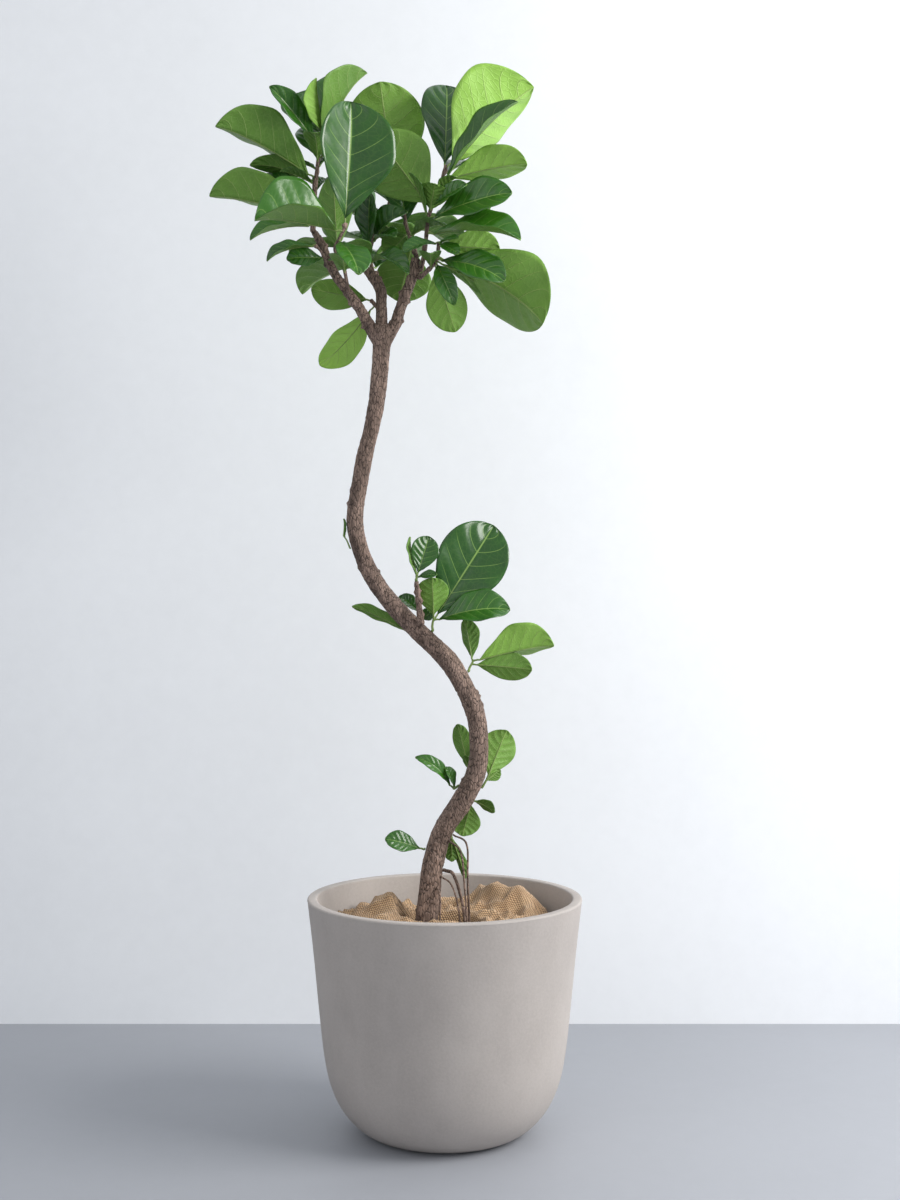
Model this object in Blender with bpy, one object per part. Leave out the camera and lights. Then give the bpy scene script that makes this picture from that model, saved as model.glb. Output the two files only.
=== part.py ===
"""A dwarf fiddle-leaf fig in a round fibre-clay pot: a bent, tapering trunk that forks into three boughs,
masses of big leaves on their shoots, small shoots on the trunk, aerial roots, and burlap over the soil.

Metres, +Z up. The origin is the middle of the pot's flat underside, and the plant's front looks along -Y.
"""
import math
import random

import bmesh
import bpy
from mathutils import Matrix, Vector
from mathutils.bvhtree import BVHTree

GAP = 0.0003  # air between neighbouring solids
SEED = 7

# Pot, root ball and burlap
POT_HEIGHT = 0.356
POT_WALL = 0.015
POT_FLOOR = 0.022
POT_SEGMENTS = 48
RIM_ROUND = 0.003
# outer radius over height, from the flat foot through the round belly to the rim
POT_PROFILE = (
    (0.100, 0.000), (0.117, 0.003), (0.133, 0.012), (0.147, 0.025), (0.160, 0.042), (0.171, 0.064),
    (0.180, 0.094), (0.187, 0.138), (0.194, 0.205), (0.201, 0.277), (0.210, POT_HEIGHT),
)
SOIL_TOP = 0.290
BURLAP_EDGE = 0.024  # the cloth's height over the soil where it meets the pot
BURLAP_MOST = 0.062
BURLAP_HOLE = (0.062, 0.036)  # half-sizes of the opening round trunk and roots, across and deep
BURLAP_HOLE_X = -0.007
BURLAP_SECTORS = 48
BURLAP_RINGS = 5
# folds heaped over the soil: right, back, height over the edge, spread
BURLAP_MOUNDS = (
    (-0.095, 0.020, 0.030, 0.042), (-0.030, 0.000, 0.014, 0.070), (0.068, 0.100, 0.036, 0.042),
    (0.118, 0.080, 0.032, 0.036), (0.090, -0.060, 0.010, 0.060), (-0.060, -0.100, 0.008, 0.050),
)

# Trunk: its middle line from the flat cut at soil level to under the fork, and its radius at each point
TRUNK_ROUTE = (
    (-0.030, 0.000, SOIL_TOP + GAP), (-0.0225, 0.002, 0.370), (-0.0165, 0.004, 0.412), (-0.003, 0.006, 0.455),
    (0.0255, 0.006, 0.500), (0.046, 0.005, 0.540), (0.053, 0.004, 0.590), (0.043, 0.000, 0.648),
    (0.0085, -0.004, 0.713), (-0.050, -0.006, 0.772), (-0.101, -0.006, 0.830), (-0.130, -0.002, 0.890),
    (-0.137, 0.002, 0.945), (-0.124, 0.006, 1.025), (-0.104, 0.004, 1.117), (-0.096, 0.000, 1.206),
)
TRUNK_RADIUS = (
    0.0185, 0.0172, 0.0162, 0.0160, 0.0160, 0.0152, 0.0146, 0.0146, 0.0148, 0.0142, 0.0134, 0.0130,
    0.0126, 0.0124, 0.0122, 0.0140,
)
TRUNK_SIDES = 14
FLARE_HEIGHT = 0.030  # the root flare fades out over this height
FLARE_REACH = 0.010
FLARE_LOBES = 5
# the fork's shoulders over the trunk: height, half-breadth, half-depth and shift to the right
FORK = ((1.2210, 0.0200, 0.0140, -0.001), (1.2352, 0.0320, 0.0115, 0.001))
STEPS_PER_SPAN = 3

# Limbs that sit on the trunk or a bough: where (the limb, the height there and the side it sits on, counted
# from the front round to the right), further points of the route, and the radius at each point. A limb that
# starts at a bare point is cut level there, over the fork.
FORK_TOP = FORK[-1][0] + GAP
BOUGHS = {
    "bough_left": (
        (-0.1180, -0.001, FORK_TOP), ((-0.134, -0.002, 1.262), (-0.1505, -0.002, 1.284)),
        (0.0088, 0.0080, 0.0074),
    ),
    "bough_middle": (
        (-0.0965, 0.001, FORK_TOP), ((-0.0975, 0.006, 1.266), (-0.100, 0.008, 1.290), (-0.120, 0.018, 1.320)),
        (0.0092, 0.0082, 0.0088, 0.0070),
    ),
    "bough_right": (
        (-0.0745, -0.001, FORK_TOP), ((-0.0645, -0.004, 1.266), (-0.051, -0.006, 1.300), (-0.044, -0.006, 1.332)),
        (0.0088, 0.0082, 0.0078, 0.0072),
    ),
    "bough_left_upper": (
        ("bough_left", None, 0),
        ((-0.166, 0.003, 1.306), (-0.180, 0.010, 1.334), (-0.190, 0.016, 1.360), (-0.201, 0.018, 1.377)),
        (0.0070, 0.0074, 0.0066, 0.0062, 0.0050),
    ),
    "spur_middle": (
        ("trunk", 0.768, 50), ((-0.0375, -0.0250, 0.786), (-0.0400, -0.0255, 0.808), (-0.0430, -0.0240, 0.838)),
        (0.0056, 0.0054, 0.0044, 0.0034),
    ),
}
BOUGH_SIDES = 10

# Aerial roots: their seat on the trunk, further points, and the radius at the two ends
ROOT_END = SOIL_TOP + GAP
AERIAL_ROOTS = {
    "aerial_root_1": (("trunk", 0.458, 75), ((0.0335, -0.008, 0.436), (0.035, -0.014, 0.380), (0.039, -0.012, ROOT_END)),
                      (0.0014, 0.0018)),
    "aerial_root_2": (("trunk", 0.446, 60), ((0.0245, -0.014, 0.425), (0.0305, -0.021, 0.370), (0.036, -0.021, ROOT_END)),
                      (0.0014, 0.0018)),
    "aerial_root_3": (("trunk", 0.398, 80), ((0.014, -0.001, 0.388), (0.027, -0.002, 0.345), (0.034, -0.002, ROOT_END)),
                      (0.0028, 0.0024)),
    "aerial_root_4": (("trunk", 0.388, 60), ((0.010, -0.014, 0.376), (0.020, -0.018, 0.345), (0.026, -0.017, ROOT_END)),
                      (0.0014, 0.0014)),
    "aerial_root_5": (("trunk", 0.372, 35), ((-0.007, -0.022, 0.360), (-0.007, -0.027, 0.335), (-0.009, -0.031, ROOT_END)),
                      (0.0016, 0.0014)),
}
ROOT_SIDES = 6

# Leaves
PETIOLE_SHARE = 0.08  # of the way from foot to tip
PETIOLE_RADIUS = 0.0016
BLADE_THICKNESS = 0.022  # at the midrib, as a share of the blade's length; the edges are sharp
BLADE_STATIONS = (0.10, 0.26, 0.44, 0.62, 0.80, 0.93)
BROADEST = 1.35  # the blade is broadest where its place raised to this power is a half
BASE_TAPER, TIP_TAPER = 0.72, 0.50
STEM_SIDES = 5
BOUGH_LEAD = 0.006  # how far a bough runs straight out of its seat
STEM_LEAD = 1.1  # the same for a stem, as a share of its foot's radius

# Shoots: each mass of foliage has one stem on its seat, and leaves along it. A leaf's row holds the place of its
# foot along the stem, its reach from foot to tip (right, back, up, in millimetres), its width in millimetres, the
# way its upper side looks (round from the front to the right, and up, in degrees), the fold of its halves and the
# arch of its midrib (a share of its length).
SHOOTS = {
    "foliage_left": (
        ("bough_left_upper", None, 0),
        ((-0.2025, 0.020, 1.420), (-0.199, 0.020, 1.460), (-0.194, 0.020, 1.506), (-0.189, 0.022, 1.532)),
        (0.0045, 0.0025),
        (
            (0.09, (-92, -40, -30), 42, (-20, 55), 35, 0.06),
            (0.17, (-158, -10, 32), 100, (180, 60), 40, 0.02),
            (0.38, (-107, 40, 21), 44, (10, 50), 35, 0.12),
            (0.52, (-101, 2, 27), 38, (170, 50), 20, 0.10),
            (0.55, (-148, -40, 71), 112, (180, 62), 40, 0.04),
            (0.86, (-70, -50, 78), 44, (20, 20), 30, 0.02),
            (0.86, (69, 10, 120), 110, (-65, 38), 52, 0.05),
            (0.97, (-45, 50, 84), 78, (5, 20), 12, 0.02),
            (0.97, (-8, -40, 76), 60, (-105, 0), 25, 0.00),
            (0.92, (10, 74, 106), 60, (180, 10), 12, 0.02),
        ),
    ),
    "foliage_left_low": (
        ("bough_left_upper", 1.328, 0),
        ((-0.181, -0.010, 1.331), (-0.190, -0.020, 1.342), (-0.196, -0.022, 1.350)),
        (0.0028, 0.0016),
        (
            (0.35, (-56, -25, -6), 36, (0, 20), 10, 0.05),
            (0.25, (26, -15, -4), 15, (10, 60), 10, 0.05),
            (1.00, (-72, -20, -27), 34, (-10, 55), 35, 0.08),
        ),
    ),
    "foliage_front": (
        ("bough_left", 1.276, 350),
        ((-0.154, -0.030, 1.317), (-0.165, -0.048, 1.336), (-0.157, -0.060, 1.351), (-0.149, -0.065, 1.365),
         (-0.147, -0.065, 1.372)),
        (0.0030, 0.0022),
        (
            (0.78, (34, -60, -62), 56, (25, 40), 15, 0.08),
            (0.90, (-122, -70, 2), 132, (-10, 40), 52, 0.03),
            (0.55, (-8, 20, 124), 54, (178, 0), 12, 0.02),
            (0.94, (12, -15, 184), 138, (28, 0), 28, 0.02),
        ),
    ),
    "foliage_middle": (
        ("bough_middle", None, 0),
        ((-0.114, 0.036, 1.365), (-0.094, 0.046, 1.412), (-0.078, 0.050, 1.450)),
        (0.0040, 0.0026),
        (
            (1.00, (-22, -30, 160), 126, (183, 5), 12, 0.03),
            (0.25, (2, -25, 84), 44, (-20, 10), 35, 0.04),
            (0.35, (55, -30, 42), 50, (-10, 30), 40, 0.14),
            (0.40, (36, -60, -8), 34, (0, 40), 20, 0.06),
            (0.10, (66, -60, -28), 44, (0, 50), 35, 0.16),
        ),
    ),
    "foliage_inner": (
        ("bough_right", None, 0),
        ((-0.052, 0.012, 1.364), (-0.060, 0.020, 1.390), (-0.063, 0.022, 1.412)),
        (0.0036, 0.0024),
        (
            (0.70, (-15, 22, 104), 68, (10, 0), 14, 0.03),
            (0.60, (-36, 24, -32), 50, (185, 10), 15, 0.08),
            (0.35, (-22, 40, -80), 88, (180, 20), 10, 0.04),
        ),
    ),
    "foliage_right": (
        ("bough_right", 1.316, 75),
        ((-0.030, -0.014, 1.345), (-0.026, -0.015, 1.386), (-0.019, -0.020, 1.411), (-0.007, -0.020, 1.441),
         (0.002, -0.020, 1.471)),
        (0.0036, 0.0026),
        (
            (0.58, (-84, 6, 114), 108, (172, 10), 12, 0.04),
            (0.97, (132, 20, 132), 164, (225, 30), 30, 0.02),
            (0.95, (4, 80, 158), 86, (10, 10), 15, 0.02),
            (0.84, (112, -40, 112), 64, (-50, 35), 30, 0.04),
            (0.86, (128, -30, 18), 70, (180, 40), 35, 0.04),
            (0.50, (124, -40, 30), 72, (5, 30), 15, 0.04),
            (0.36, (140, -60, -20), 76, (0, 55), 35, 0.06),
            (0.50, (-27, -20, 64), 26, (100, 0), 25, 0.02),
            (0.55, (8, -28, 36), 50, (175, 0), 20, 0.05),
            (0.60, (52, -34, 26), 30, (20, 30), 25, 0.05),
        ),
    ),
    "foliage_right_low": (
        ("bough_right", 1.306, 75),
        ((-0.024, -0.022, 1.312), (-0.012, -0.034, 1.325), (-0.010, -0.036, 1.350)),
        (0.0040, 0.0024),
        (
            (0.92, (93, 15, 0), 56, (175, 30), 15, 0.02),
            (0.66, (100, -55, -42), 62, (10, 30), 12, 0.08),
            (0.60, (28, -50, -74), 34, (-20, 40), 25, 0.10),
            (0.55, (31, 30, -98), 64, (180, -10), 12, 0.04),
            (0.62, (114, 34, -58), 34, (170, 30), 25, 0.04),
            (0.72, (160, -24, -104), 136, (156, 27), 28, 0.12),
            (1.00, (30, -24, 2), 20, (10, 50), 10, 0.06),
            (1.00, (30, -24, -22), 28, (10, 40), 10, 0.06),
            (1.00, (-52, -24, -20), 34, (0, 50), 20, 0.10),
        ),
    ),
    "foliage_low": (
        ("bough_middle", 1.262, 215),
        ((-0.110, 0.025, 1.268), (-0.114, 0.027, 1.276)),
        (0.0028, 0.0020),
        (
            (0.90, (-94, 8, 20), 52, (180, -10), 8, 0.02),
            (0.50, (-84, 14, -92), 60, (180, -30), 8, 0.06),
        ),
    ),
    "foliage_back": (
        ("bough_middle", 1.306, 160),
        ((-0.112, 0.060, 1.322), (-0.120, 0.100, 1.375), (-0.096, 0.122, 1.440)),
        (0.0040, 0.0026),
        (),
    ),
    "shoot_spur": (
        ("spur_middle", None, 0),
        ((-0.0430, -0.0235, 0.842), (-0.0420, -0.0230, 0.847)),
        (0.0024, 0.0016),
        (
            (1.00, (18, 12, 60), 44, (10, 5), 12, 0.02),
            (0.60, (-12, 10, 62), 22, (-100, 0), 20, 0.02),
            (0.80, (30, -10, 4), 16, (20, 30), 15, 0.05),
        ),
    ),
    "shoot_middle": (
        ("trunk", 0.752, 80),
        ((-0.0190, -0.008, 0.771), (-0.0165, -0.010, 0.784)),
        (0.0022, 0.0016),
        (
            (0.70, (94, 25, 148), 110, (8, 10), 12, 0.03),
            (0.90, (-2, -16, 62), 52, (184, 0), 15, 0.02),
            (0.80, (116, -10, 18), 66, (10, 40), 20, 0.08),
        ),
    ),
    "shoot_behind": (
        ("trunk", 0.764, 150),
        ((-0.038, 0.024, 0.782), (-0.038, 0.026, 0.790)),
        (0.0020, 0.0014),
        (
            (1.00, (-32, -4, 26), 28, (20, 40), 20, 0.05),
            (0.60, (18, 0, 12), 22, (0, 20), 15, 0.05),
        ),
    ),
    "shoot_left": (
        ("trunk", 0.757, 205),
        ((-0.046, 0.012, 0.758), (-0.049, 0.014, 0.758)),
        (0.0020, 0.0014),
        (
            (1.00, (-92, -14, 44), 26, (170, 40), 20, 0.03),
        ),
    ),
    "shoot_right": (
        ("trunk", 0.692, 90),
        ((0.038, 0.000, 0.706), (0.044, 0.000, 0.717)),
        (0.0022, 0.0016),
        (
            (0.90, (-12, 10, 66), 36, (150, 10), 25, 0.02),
            (1.00, (122, -10, 26), 84, (189, 37), 38, 0.02),
            (0.70, (92, -10, -7), 46, (180, 10), 15, 0.02),
        ),
    ),
    "shoot_low_right": (
        ("trunk", 0.528, 100),
        ((0.0635, 0.009, 0.532), (0.0645, 0.010, 0.534)),
        (0.0020, 0.0014),
        (
            (1.00, (31, 20, 73), 58, (190, 0), 10, 0.03),
            (0.80, (22, 12, 16), 22, (180, 0), 10, 0.03),
        ),
    ),
    "shoot_low_left": (
        ("trunk", 0.516, 245),
        ((0.0145, 0.0135, 0.519), (0.0125, 0.0135, 0.521)),
        (0.0020, 0.0014),
        (
            (1.00, (-56, -15, 49), 26, (-30, 50), 20, 0.16),
            (0.60, (-15, -11, 33), 22, (60, 0), 20, 0.06),
        ),
    ),
    "shoot_low_back": (
        ("trunk", 0.542, 200),
        ((0.038, 0.025, 0.545), (0.037, 0.027, 0.547)),
        (0.0020, 0.0014),
        (
            (1.00, (-17, 4, 70), 30, (170, 0), 15, 0.03),
            (0.80, (-7, -2, 24), 14, (150, 0), 15, 0.03),
        ),
    ),
    "shoot_foot": (
        ("trunk", 0.498, 125),
        ((0.042, 0.019, 0.500), (0.044, 0.021, 0.501)),
        (0.0020, 0.0014),
        (
            (1.00, (33, -8, -17), 24, (180, 40), 12, 0.05),
            (0.70, (-14, 4, -53), 50, (190, -10), 12, 0.05),
        ),
    ),
    "shoot_foot_left": (
        ("trunk", 0.424, 275),
        ((-0.032, 0.003, 0.427), (-0.034, 0.003, 0.428)),
        (0.0016, 0.0012),
        (
            (1.00, (-56, -14, 18), 36, (-10, 40), 10, 0.04),
        ),
    ),
    "shoot_foot_back": (
        ("trunk", 0.444, 165),
        ((0.006, 0.025, 0.446), (0.010, 0.026, 0.445)),
        (0.0018, 0.0012),
        (
            (1.00, (1, 2, -40), 26, (180, 0), 12, 0.04),
            (1.00, (22, 2, -66), 18, (160, 0), 30, 0.04),
        ),
    ),
    "shoot_bud": (
        ("trunk", 0.893, 270),
        ((-0.150, -0.002, 0.901), (-0.1535, -0.002, 0.906)),
        (0.0014, 0.0010),
        (
            (1.00, (0, 0, 28), 12, (90, 0), 20, 0.02),
        ),
    ),
}

# Leaves dealt by rule on the far side: how many, the middle heading, how far it spreads to each side, and the
# least and greatest length
RULED = {
    "foliage_back": (14, 180, 105, (0.110, 0.160)),
    "foliage_left": (4, 215, 50, (0.100, 0.150)),
    "foliage_middle": (3, 180, 60, (0.100, 0.140)),
    "foliage_right": (5, 140, 55, (0.110, 0.150)),
}
GOLDEN_ANGLE = 137.5
LEAF_SLENDERNESS = 0.64  # width over length

BARK = (0.20, 0.145, 0.115)
LEAF = (0.045, 0.155, 0.030)


def material(name, colour, roughness):
    """A Principled material of one plain colour."""
    made = bpy.data.materials.get(name) or bpy.data.materials.new(name)
    made.use_nodes = True
    shader = made.node_tree.nodes["Principled BSDF"]
    shader.inputs["Base Color"].default_value = (*colour, 1.0)
    shader.inputs["Roughness"].default_value = roughness
    shader.inputs["Metallic"].default_value = 0.0
    return made


def finished(name, bm, surface, sharp_degrees=40.0):
    """The bmesh as an object of the scene, smooth but for its sharp edges."""
    bmesh.ops.recalc_face_normals(bm, faces=bm.faces)
    mesh = bpy.data.meshes.new(name)
    bm.to_mesh(mesh)
    bm.free()
    mesh.shade_smooth()
    mesh.set_sharp_from_angle(angle=math.radians(sharp_degrees))
    mesh.materials.append(surface)
    made = bpy.data.objects.new(name, mesh)
    bpy.context.scene.collection.objects.link(made)
    return made


def lofted(rings):
    """A closed body through rings of points: the first ring's face is extruded from each ring to the next."""
    bm = bmesh.new()
    face = bm.faces.new([bm.verts.new(place) for place in rings[0]])
    for ring in rings[1:]:
        face = bmesh.ops.extrude_discrete_faces(bm, faces=[face])["faces"][0]
        for vert, place in zip(face.verts, ring):
            vert.co = place
    bmesh.ops.holes_fill(bm, edges=[edge for edge in bm.edges if edge.is_boundary], sides=0)
    return bm


def smooth_route(points, steps):
    """Points on a smooth curve that passes through the given ones (Catmull-Rom)."""
    points = [Vector(point) for point in points]
    padded = [2 * points[0] - points[1], *points, 2 * points[-1] - points[-2]]
    route = []
    for a, b, c, d in zip(padded, padded[1:], padded[2:], padded[3:]):
        for step in range(steps):
            t = step / steps
            route.append(0.5 * (2 * b + (c - a) * t + (2 * a - 5 * b + 4 * c - d) * t * t
                                + (3 * b - a - 3 * c + d) * t ** 3))
    return route + [points[-1]]


def spread(values, steps):
    """The given values and, between each two, the even steps that smooth_route makes."""
    out = []
    for low, high in zip(values, values[1:]):
        out += [low + (high - low) * step / steps for step in range(steps)]
    return out + [values[-1]]


def along(route, share):
    """The point at a share of a route's length, and the route's direction there."""
    lengths = [(b - a).length for a, b in zip(route, route[1:])]
    left = share * sum(lengths)
    for a, b, length in zip(route, route[1:], lengths):
        if left <= length or b is route[-1]:
            return a.lerp(b, min(left / length, 1.0)), (b - a).normalized()
        left -= length


def ring_frames(route):
    """Two axes across the route at each of its points, turned as little as can be from one to the next."""
    tangents = []
    for i in range(len(route)):
        tangents.append((route[min(i + 1, len(route) - 1)] - route[max(i - 1, 0)]).normalized())
    side = tangents[0].orthogonal().normalized()
    frames = []
    for tangent in tangents:
        side = (side - tangent * side.dot(tangent)).normalized()
        frames.append((side, tangent.cross(side)))
    return frames


def limb_rings(route, radii, sides):
    """Rings of a round limb; each radius may be one length, or a function of the angle."""
    rings = []
    for place, radius, (side, other) in zip(route, radii, ring_frames(route)):
        ring = []
        for i in range(sides):
            angle = math.tau * i / sides
            reach = radius(angle) if callable(radius) else radius
            ring.append(place + (side * math.cos(angle) + other * math.sin(angle)) * reach)
        rings.append(ring)
    return rings


def spun(name, profile, segments, surface):
    """A turned body: a closed profile of (radius, height) points spun about the Z axis."""
    bm = bmesh.new()
    verts = [bm.verts.new((radius, 0.0, height)) for radius, height in profile]
    edges = [bm.edges.new(pair) for pair in zip(verts, verts[1:])]
    bmesh.ops.spin(bm, geom=verts + edges, cent=(0, 0, 0), axis=(0, 0, 1), angle=math.tau,
                   steps=segments, use_merge=True)
    bmesh.ops.remove_doubles(bm, verts=bm.verts, dist=0.00001)
    return finished(name, bm, surface)


def outer_radius(height):
    """The pot's outer radius at a height."""
    for (r0, z0), (r1, z1) in zip(POT_PROFILE, POT_PROFILE[1:]):
        if height <= z1:
            return r0 + (r1 - r0) * (height - z0) / (z1 - z0)
    return POT_PROFILE[-1][0]


def inner_radius(height):
    """The pot's inner radius at a height."""
    return outer_radius(height) - POT_WALL


def build_pot():
    heights = [z for _, z in POT_PROFILE if POT_FLOOR + 0.01 < z < POT_HEIGHT]
    outside = [(0.0, 0.0), *POT_PROFILE[:-1]]
    top = POT_PROFILE[-1][0]
    rim = [
        (top - 0.0003, POT_HEIGHT - RIM_ROUND), (top - RIM_ROUND, POT_HEIGHT),
        (top - POT_WALL + RIM_ROUND, POT_HEIGHT), (top - POT_WALL, POT_HEIGHT - RIM_ROUND),
    ]
    inside = [(inner_radius(z), z) for z in reversed(heights)]
    floor = [(inner_radius(POT_FLOOR + 0.01) - 0.012, POT_FLOOR), (0.0, POT_FLOOR)]
    spun("pot", outside + rim + inside + floor, POT_SEGMENTS, material("fibre_clay", (0.43, 0.40, 0.38), 0.85))


def build_root_ball():
    """Soil and roots that fill the pot, level on top, where the trunk's flat cut stands."""
    heights = [z for _, z in POT_PROFILE if POT_FLOOR + 0.01 < z < SOIL_TOP]
    profile = [(0.0, POT_FLOOR + GAP), (inner_radius(POT_FLOOR + 0.01) - 0.0125, POT_FLOOR + GAP)]
    profile += [(inner_radius(z) - GAP, z) for z in (*heights, SOIL_TOP)]
    profile += [(0.0, SOIL_TOP)]
    spun("root_ball", profile, POT_SEGMENTS, material("soil", (0.07, 0.05, 0.035), 0.95))


def burlap_height(x, y):
    """The height of the cloth's top over a place on the soil."""
    height = BURLAP_EDGE
    for right, back, rise, reach in BURLAP_MOUNDS:
        height += rise * math.exp(-((x - right) ** 2 + (y - back) ** 2) / reach ** 2)
    return SOIL_TOP + min(height, BURLAP_MOST)


def build_burlap():
    """The cloth heaped on the soil: one closed ring of plain folds, open round the trunk and the aerial roots."""
    rings = []
    for i in range(BURLAP_SECTORS):
        angle = math.tau * i / BURLAP_SECTORS
        inner = Vector((BURLAP_HOLE_X + BURLAP_HOLE[0] * math.cos(angle), BURLAP_HOLE[1] * math.sin(angle)))
        outer = Vector((math.cos(angle), math.sin(angle))) * (inner_radius(SOIL_TOP) - 0.002)
        section = [(*inner, SOIL_TOP + GAP)]
        for step in range(BURLAP_RINGS + 1):
            place = inner.lerp(outer, step / BURLAP_RINGS)
            section.append((*place, burlap_height(*place)))
        section.append((*outer, SOIL_TOP + GAP))
        rings.append([Vector(point) for point in section])
    bm = bmesh.new()
    loops = []
    for ring in rings:
        verts = [bm.verts.new(place) for place in ring]
        loops.append([bm.edges.new(pair) for pair in zip(verts, verts[1:] + verts[:1])])
    for first, second in zip(loops, loops[1:] + loops[:1]):
        bmesh.ops.bridge_loops(bm, edges=first + second)
    finished("burlap", bm, material("jute", (0.55, 0.36, 0.20), 0.95), 60.0)


def flared(radius, height):
    """A ring's radius as a function of the angle, with the lobes of the root flare near the soil."""
    fade = max(0.0, 1.0 - height / FLARE_HEIGHT) ** 2
    return lambda angle: radius + FLARE_REACH * fade * (0.6 + 0.4 * math.cos(FLARE_LOBES * angle + 0.6))


def build_trunk():
    route = smooth_route(TRUNK_ROUTE, STEPS_PER_SPAN)
    radii = spread(TRUNK_RADIUS, STEPS_PER_SPAN)
    flares = [flared(radius, place.z - SOIL_TOP) for radius, place in zip(radii, route)]
    rings = limb_rings(route, flares, TRUNK_SIDES)
    for vert in rings[0]:
        vert.z = TRUNK_ROUTE[0][2]  # the flat cut at soil level
    top, middle = rings[-1], route[-1]
    for height, breadth, depth, shift in FORK:
        centre = Vector((middle.x + shift, middle.y, height))
        scale = Matrix.Diagonal((breadth / radii[-1], depth / radii[-1], 0.0))
        rings.append([centre + scale @ (vert - middle) for vert in top])
    finished("trunk", lofted(rings), material("bark", BARK, 0.9))
    return {"trunk": (route, radii)}


def seated(seat, limbs, clear=GAP):
    """The point where a limb starts, just clear of the one that carries it, and the way it starts."""
    carrier, height, side = seat
    route, radii = limbs[carrier]
    if height is None:
        ahead = (route[-1] - route[-2]).normalized()
        return route[-1] + ahead * clear, ahead
    for low, high, thin, thick in zip(route, route[1:], radii, radii[1:]):
        if low.z <= height <= high.z:
            share = (height - low.z) / (high.z - low.z)
            axis = (high - low).normalized()
            outward = looking(side, 0)
            outward = (outward - axis * outward.dot(axis)).normalized()
            return low.lerp(high, share) + outward * (thin + (thick - thin) * share + clear), outward
    raise ValueError(f"no place at {height} on {carrier}")


def seated_route(seat, points, limbs, lead):
    """A smooth route from the seat: it starts square to its carrier and then runs through the points."""
    start, ahead = seated(seat, limbs)
    return [start, *smooth_route([start + ahead * lead, *points], STEPS_PER_SPAN)]


def build_limbs(limbs):
    """Boughs and aerial roots, each one tapering limb."""
    bark = material("bark", BARK, 0.9)
    for name, (seat, points, radii) in BOUGHS.items():
        level = not isinstance(seat[0], str)
        if level:
            route = smooth_route([seat, *points], STEPS_PER_SPAN)
            radii = spread(radii, STEPS_PER_SPAN)
        else:
            route = seated_route(seat, points, limbs, BOUGH_LEAD)
            radii = [radii[0], *spread(radii, STEPS_PER_SPAN)]
        rings = limb_rings(route, radii, BOUGH_SIDES)
        if level:
            for vert in rings[0]:
                vert.z = seat[2]
        finished(name, lofted(rings), bark)
        limbs[name] = (route, radii)
    for name, (seat, points, ends) in AERIAL_ROOTS.items():
        route = seated_route(seat, points, limbs, STEM_LEAD * ends[0])
        rings = limb_rings(route, spread(ends, len(route) - 1), ROOT_SIDES)
        for vert in rings[-1]:
            vert.z = ROOT_END
        finished(name, lofted(rings), bark)


def blade_breadth(place):
    """Half the blade's breadth at a place from its base (0) to its tip (1), as a share of the greatest."""
    turn = math.sin(math.pi * place ** BROADEST)
    past = place ** BROADEST > 0.5
    return max(turn, 0.0) ** (TIP_TAPER if past else BASE_TAPER)


def looking(azimuth, rise):
    """The direction of an azimuth, counted from the front round to the right, and a rise."""
    azimuth, rise = math.radians(azimuth), math.radians(rise)
    return Vector((math.sin(azimuth) * math.cos(rise), -math.cos(azimuth) * math.cos(rise), math.sin(rise)))


class Leaf:
    """One leaf's place: its foot, its axes and its sizes."""

    def __init__(self, foot, reach, width, facing, fold, arch):
        self.foot = Vector(foot)
        self.length = reach.length
        self.forward = reach.normalized()
        upward = looking(*facing)
        self.up = (upward - self.forward * upward.dot(self.forward)).normalized()
        self.side = self.forward.cross(self.up)
        self.width = width
        self.fold = math.radians(fold)
        self.arch = arch

    def blade(self, place, across, raised=0.0):
        """A point of the blade: its place from base to tip, its share across from -1 to 1, and a raise."""
        petiole = PETIOLE_SHARE * self.length
        half = 0.5 * self.width * blade_breadth(place) * across
        lift = abs(half) * math.sin(self.fold) + 4 * self.arch * self.length * place * (1 - place) + raised
        ahead = petiole + (self.length - petiole) * place
        return self.foot + self.forward * ahead + self.side * half * math.cos(self.fold) + self.up * lift

    def rings(self):
        """Four-sided rings from the petiole's foot to the blade's tip: left, above, right and below."""
        half = 0.5 * BLADE_THICKNESS * self.length
        rings = []
        for ahead in (0.0, PETIOLE_SHARE * self.length):
            middle = self.foot + self.forward * ahead
            rings.append([middle + axis * PETIOLE_RADIUS for axis in (-self.side, self.up, self.side, -self.up)])
        for place in BLADE_STATIONS:
            rings.append([self.blade(place, -1), self.blade(place, 0, half),
                          self.blade(place, 1), self.blade(place, 0, -half)])
        tip, small = self.blade(1.0, 0), 0.25 * half
        broad = 0.06 * self.width
        rings.append([tip - self.side * broad, tip + self.up * small, tip + self.side * broad, tip - self.up * small])
        return rings


def shoot_leaves(name, route):
    """The leaves of a shoot that are placed one by one."""
    leaves = []
    for share, reach, width, facing, fold, arch in SHOOTS[name][3]:
        foot, _ = along(route, share)
        leaves.append(Leaf(foot, Vector(reach) * 0.001, width * 0.001, facing, fold, arch))
    return leaves


def ruled_leaves(name, route, rng):
    """Leaves of the far side: each turns on from the last by the golden angle, folded into the rule's spread."""
    if name not in RULED:
        return []
    count, heading, reach_round, lengths = RULED[name]
    leaves = []
    for i in range(count):
        turn = (i * GOLDEN_ANGLE) % 360 / 180 - 1
        azimuth = heading + reach_round * turn
        rise = rng.uniform(-15, 55)
        length = rng.uniform(*lengths)
        foot, _ = along(route, 0.25 + 0.75 * (i + 0.5) / count)
        leaves.append(Leaf(foot, looking(azimuth, rise) * length, length * LEAF_SLENDERNESS,
                           (azimuth + rng.uniform(-20, 20), rise + 80), rng.uniform(8, 22), rng.uniform(0.02, 0.10)))
    return leaves


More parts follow.
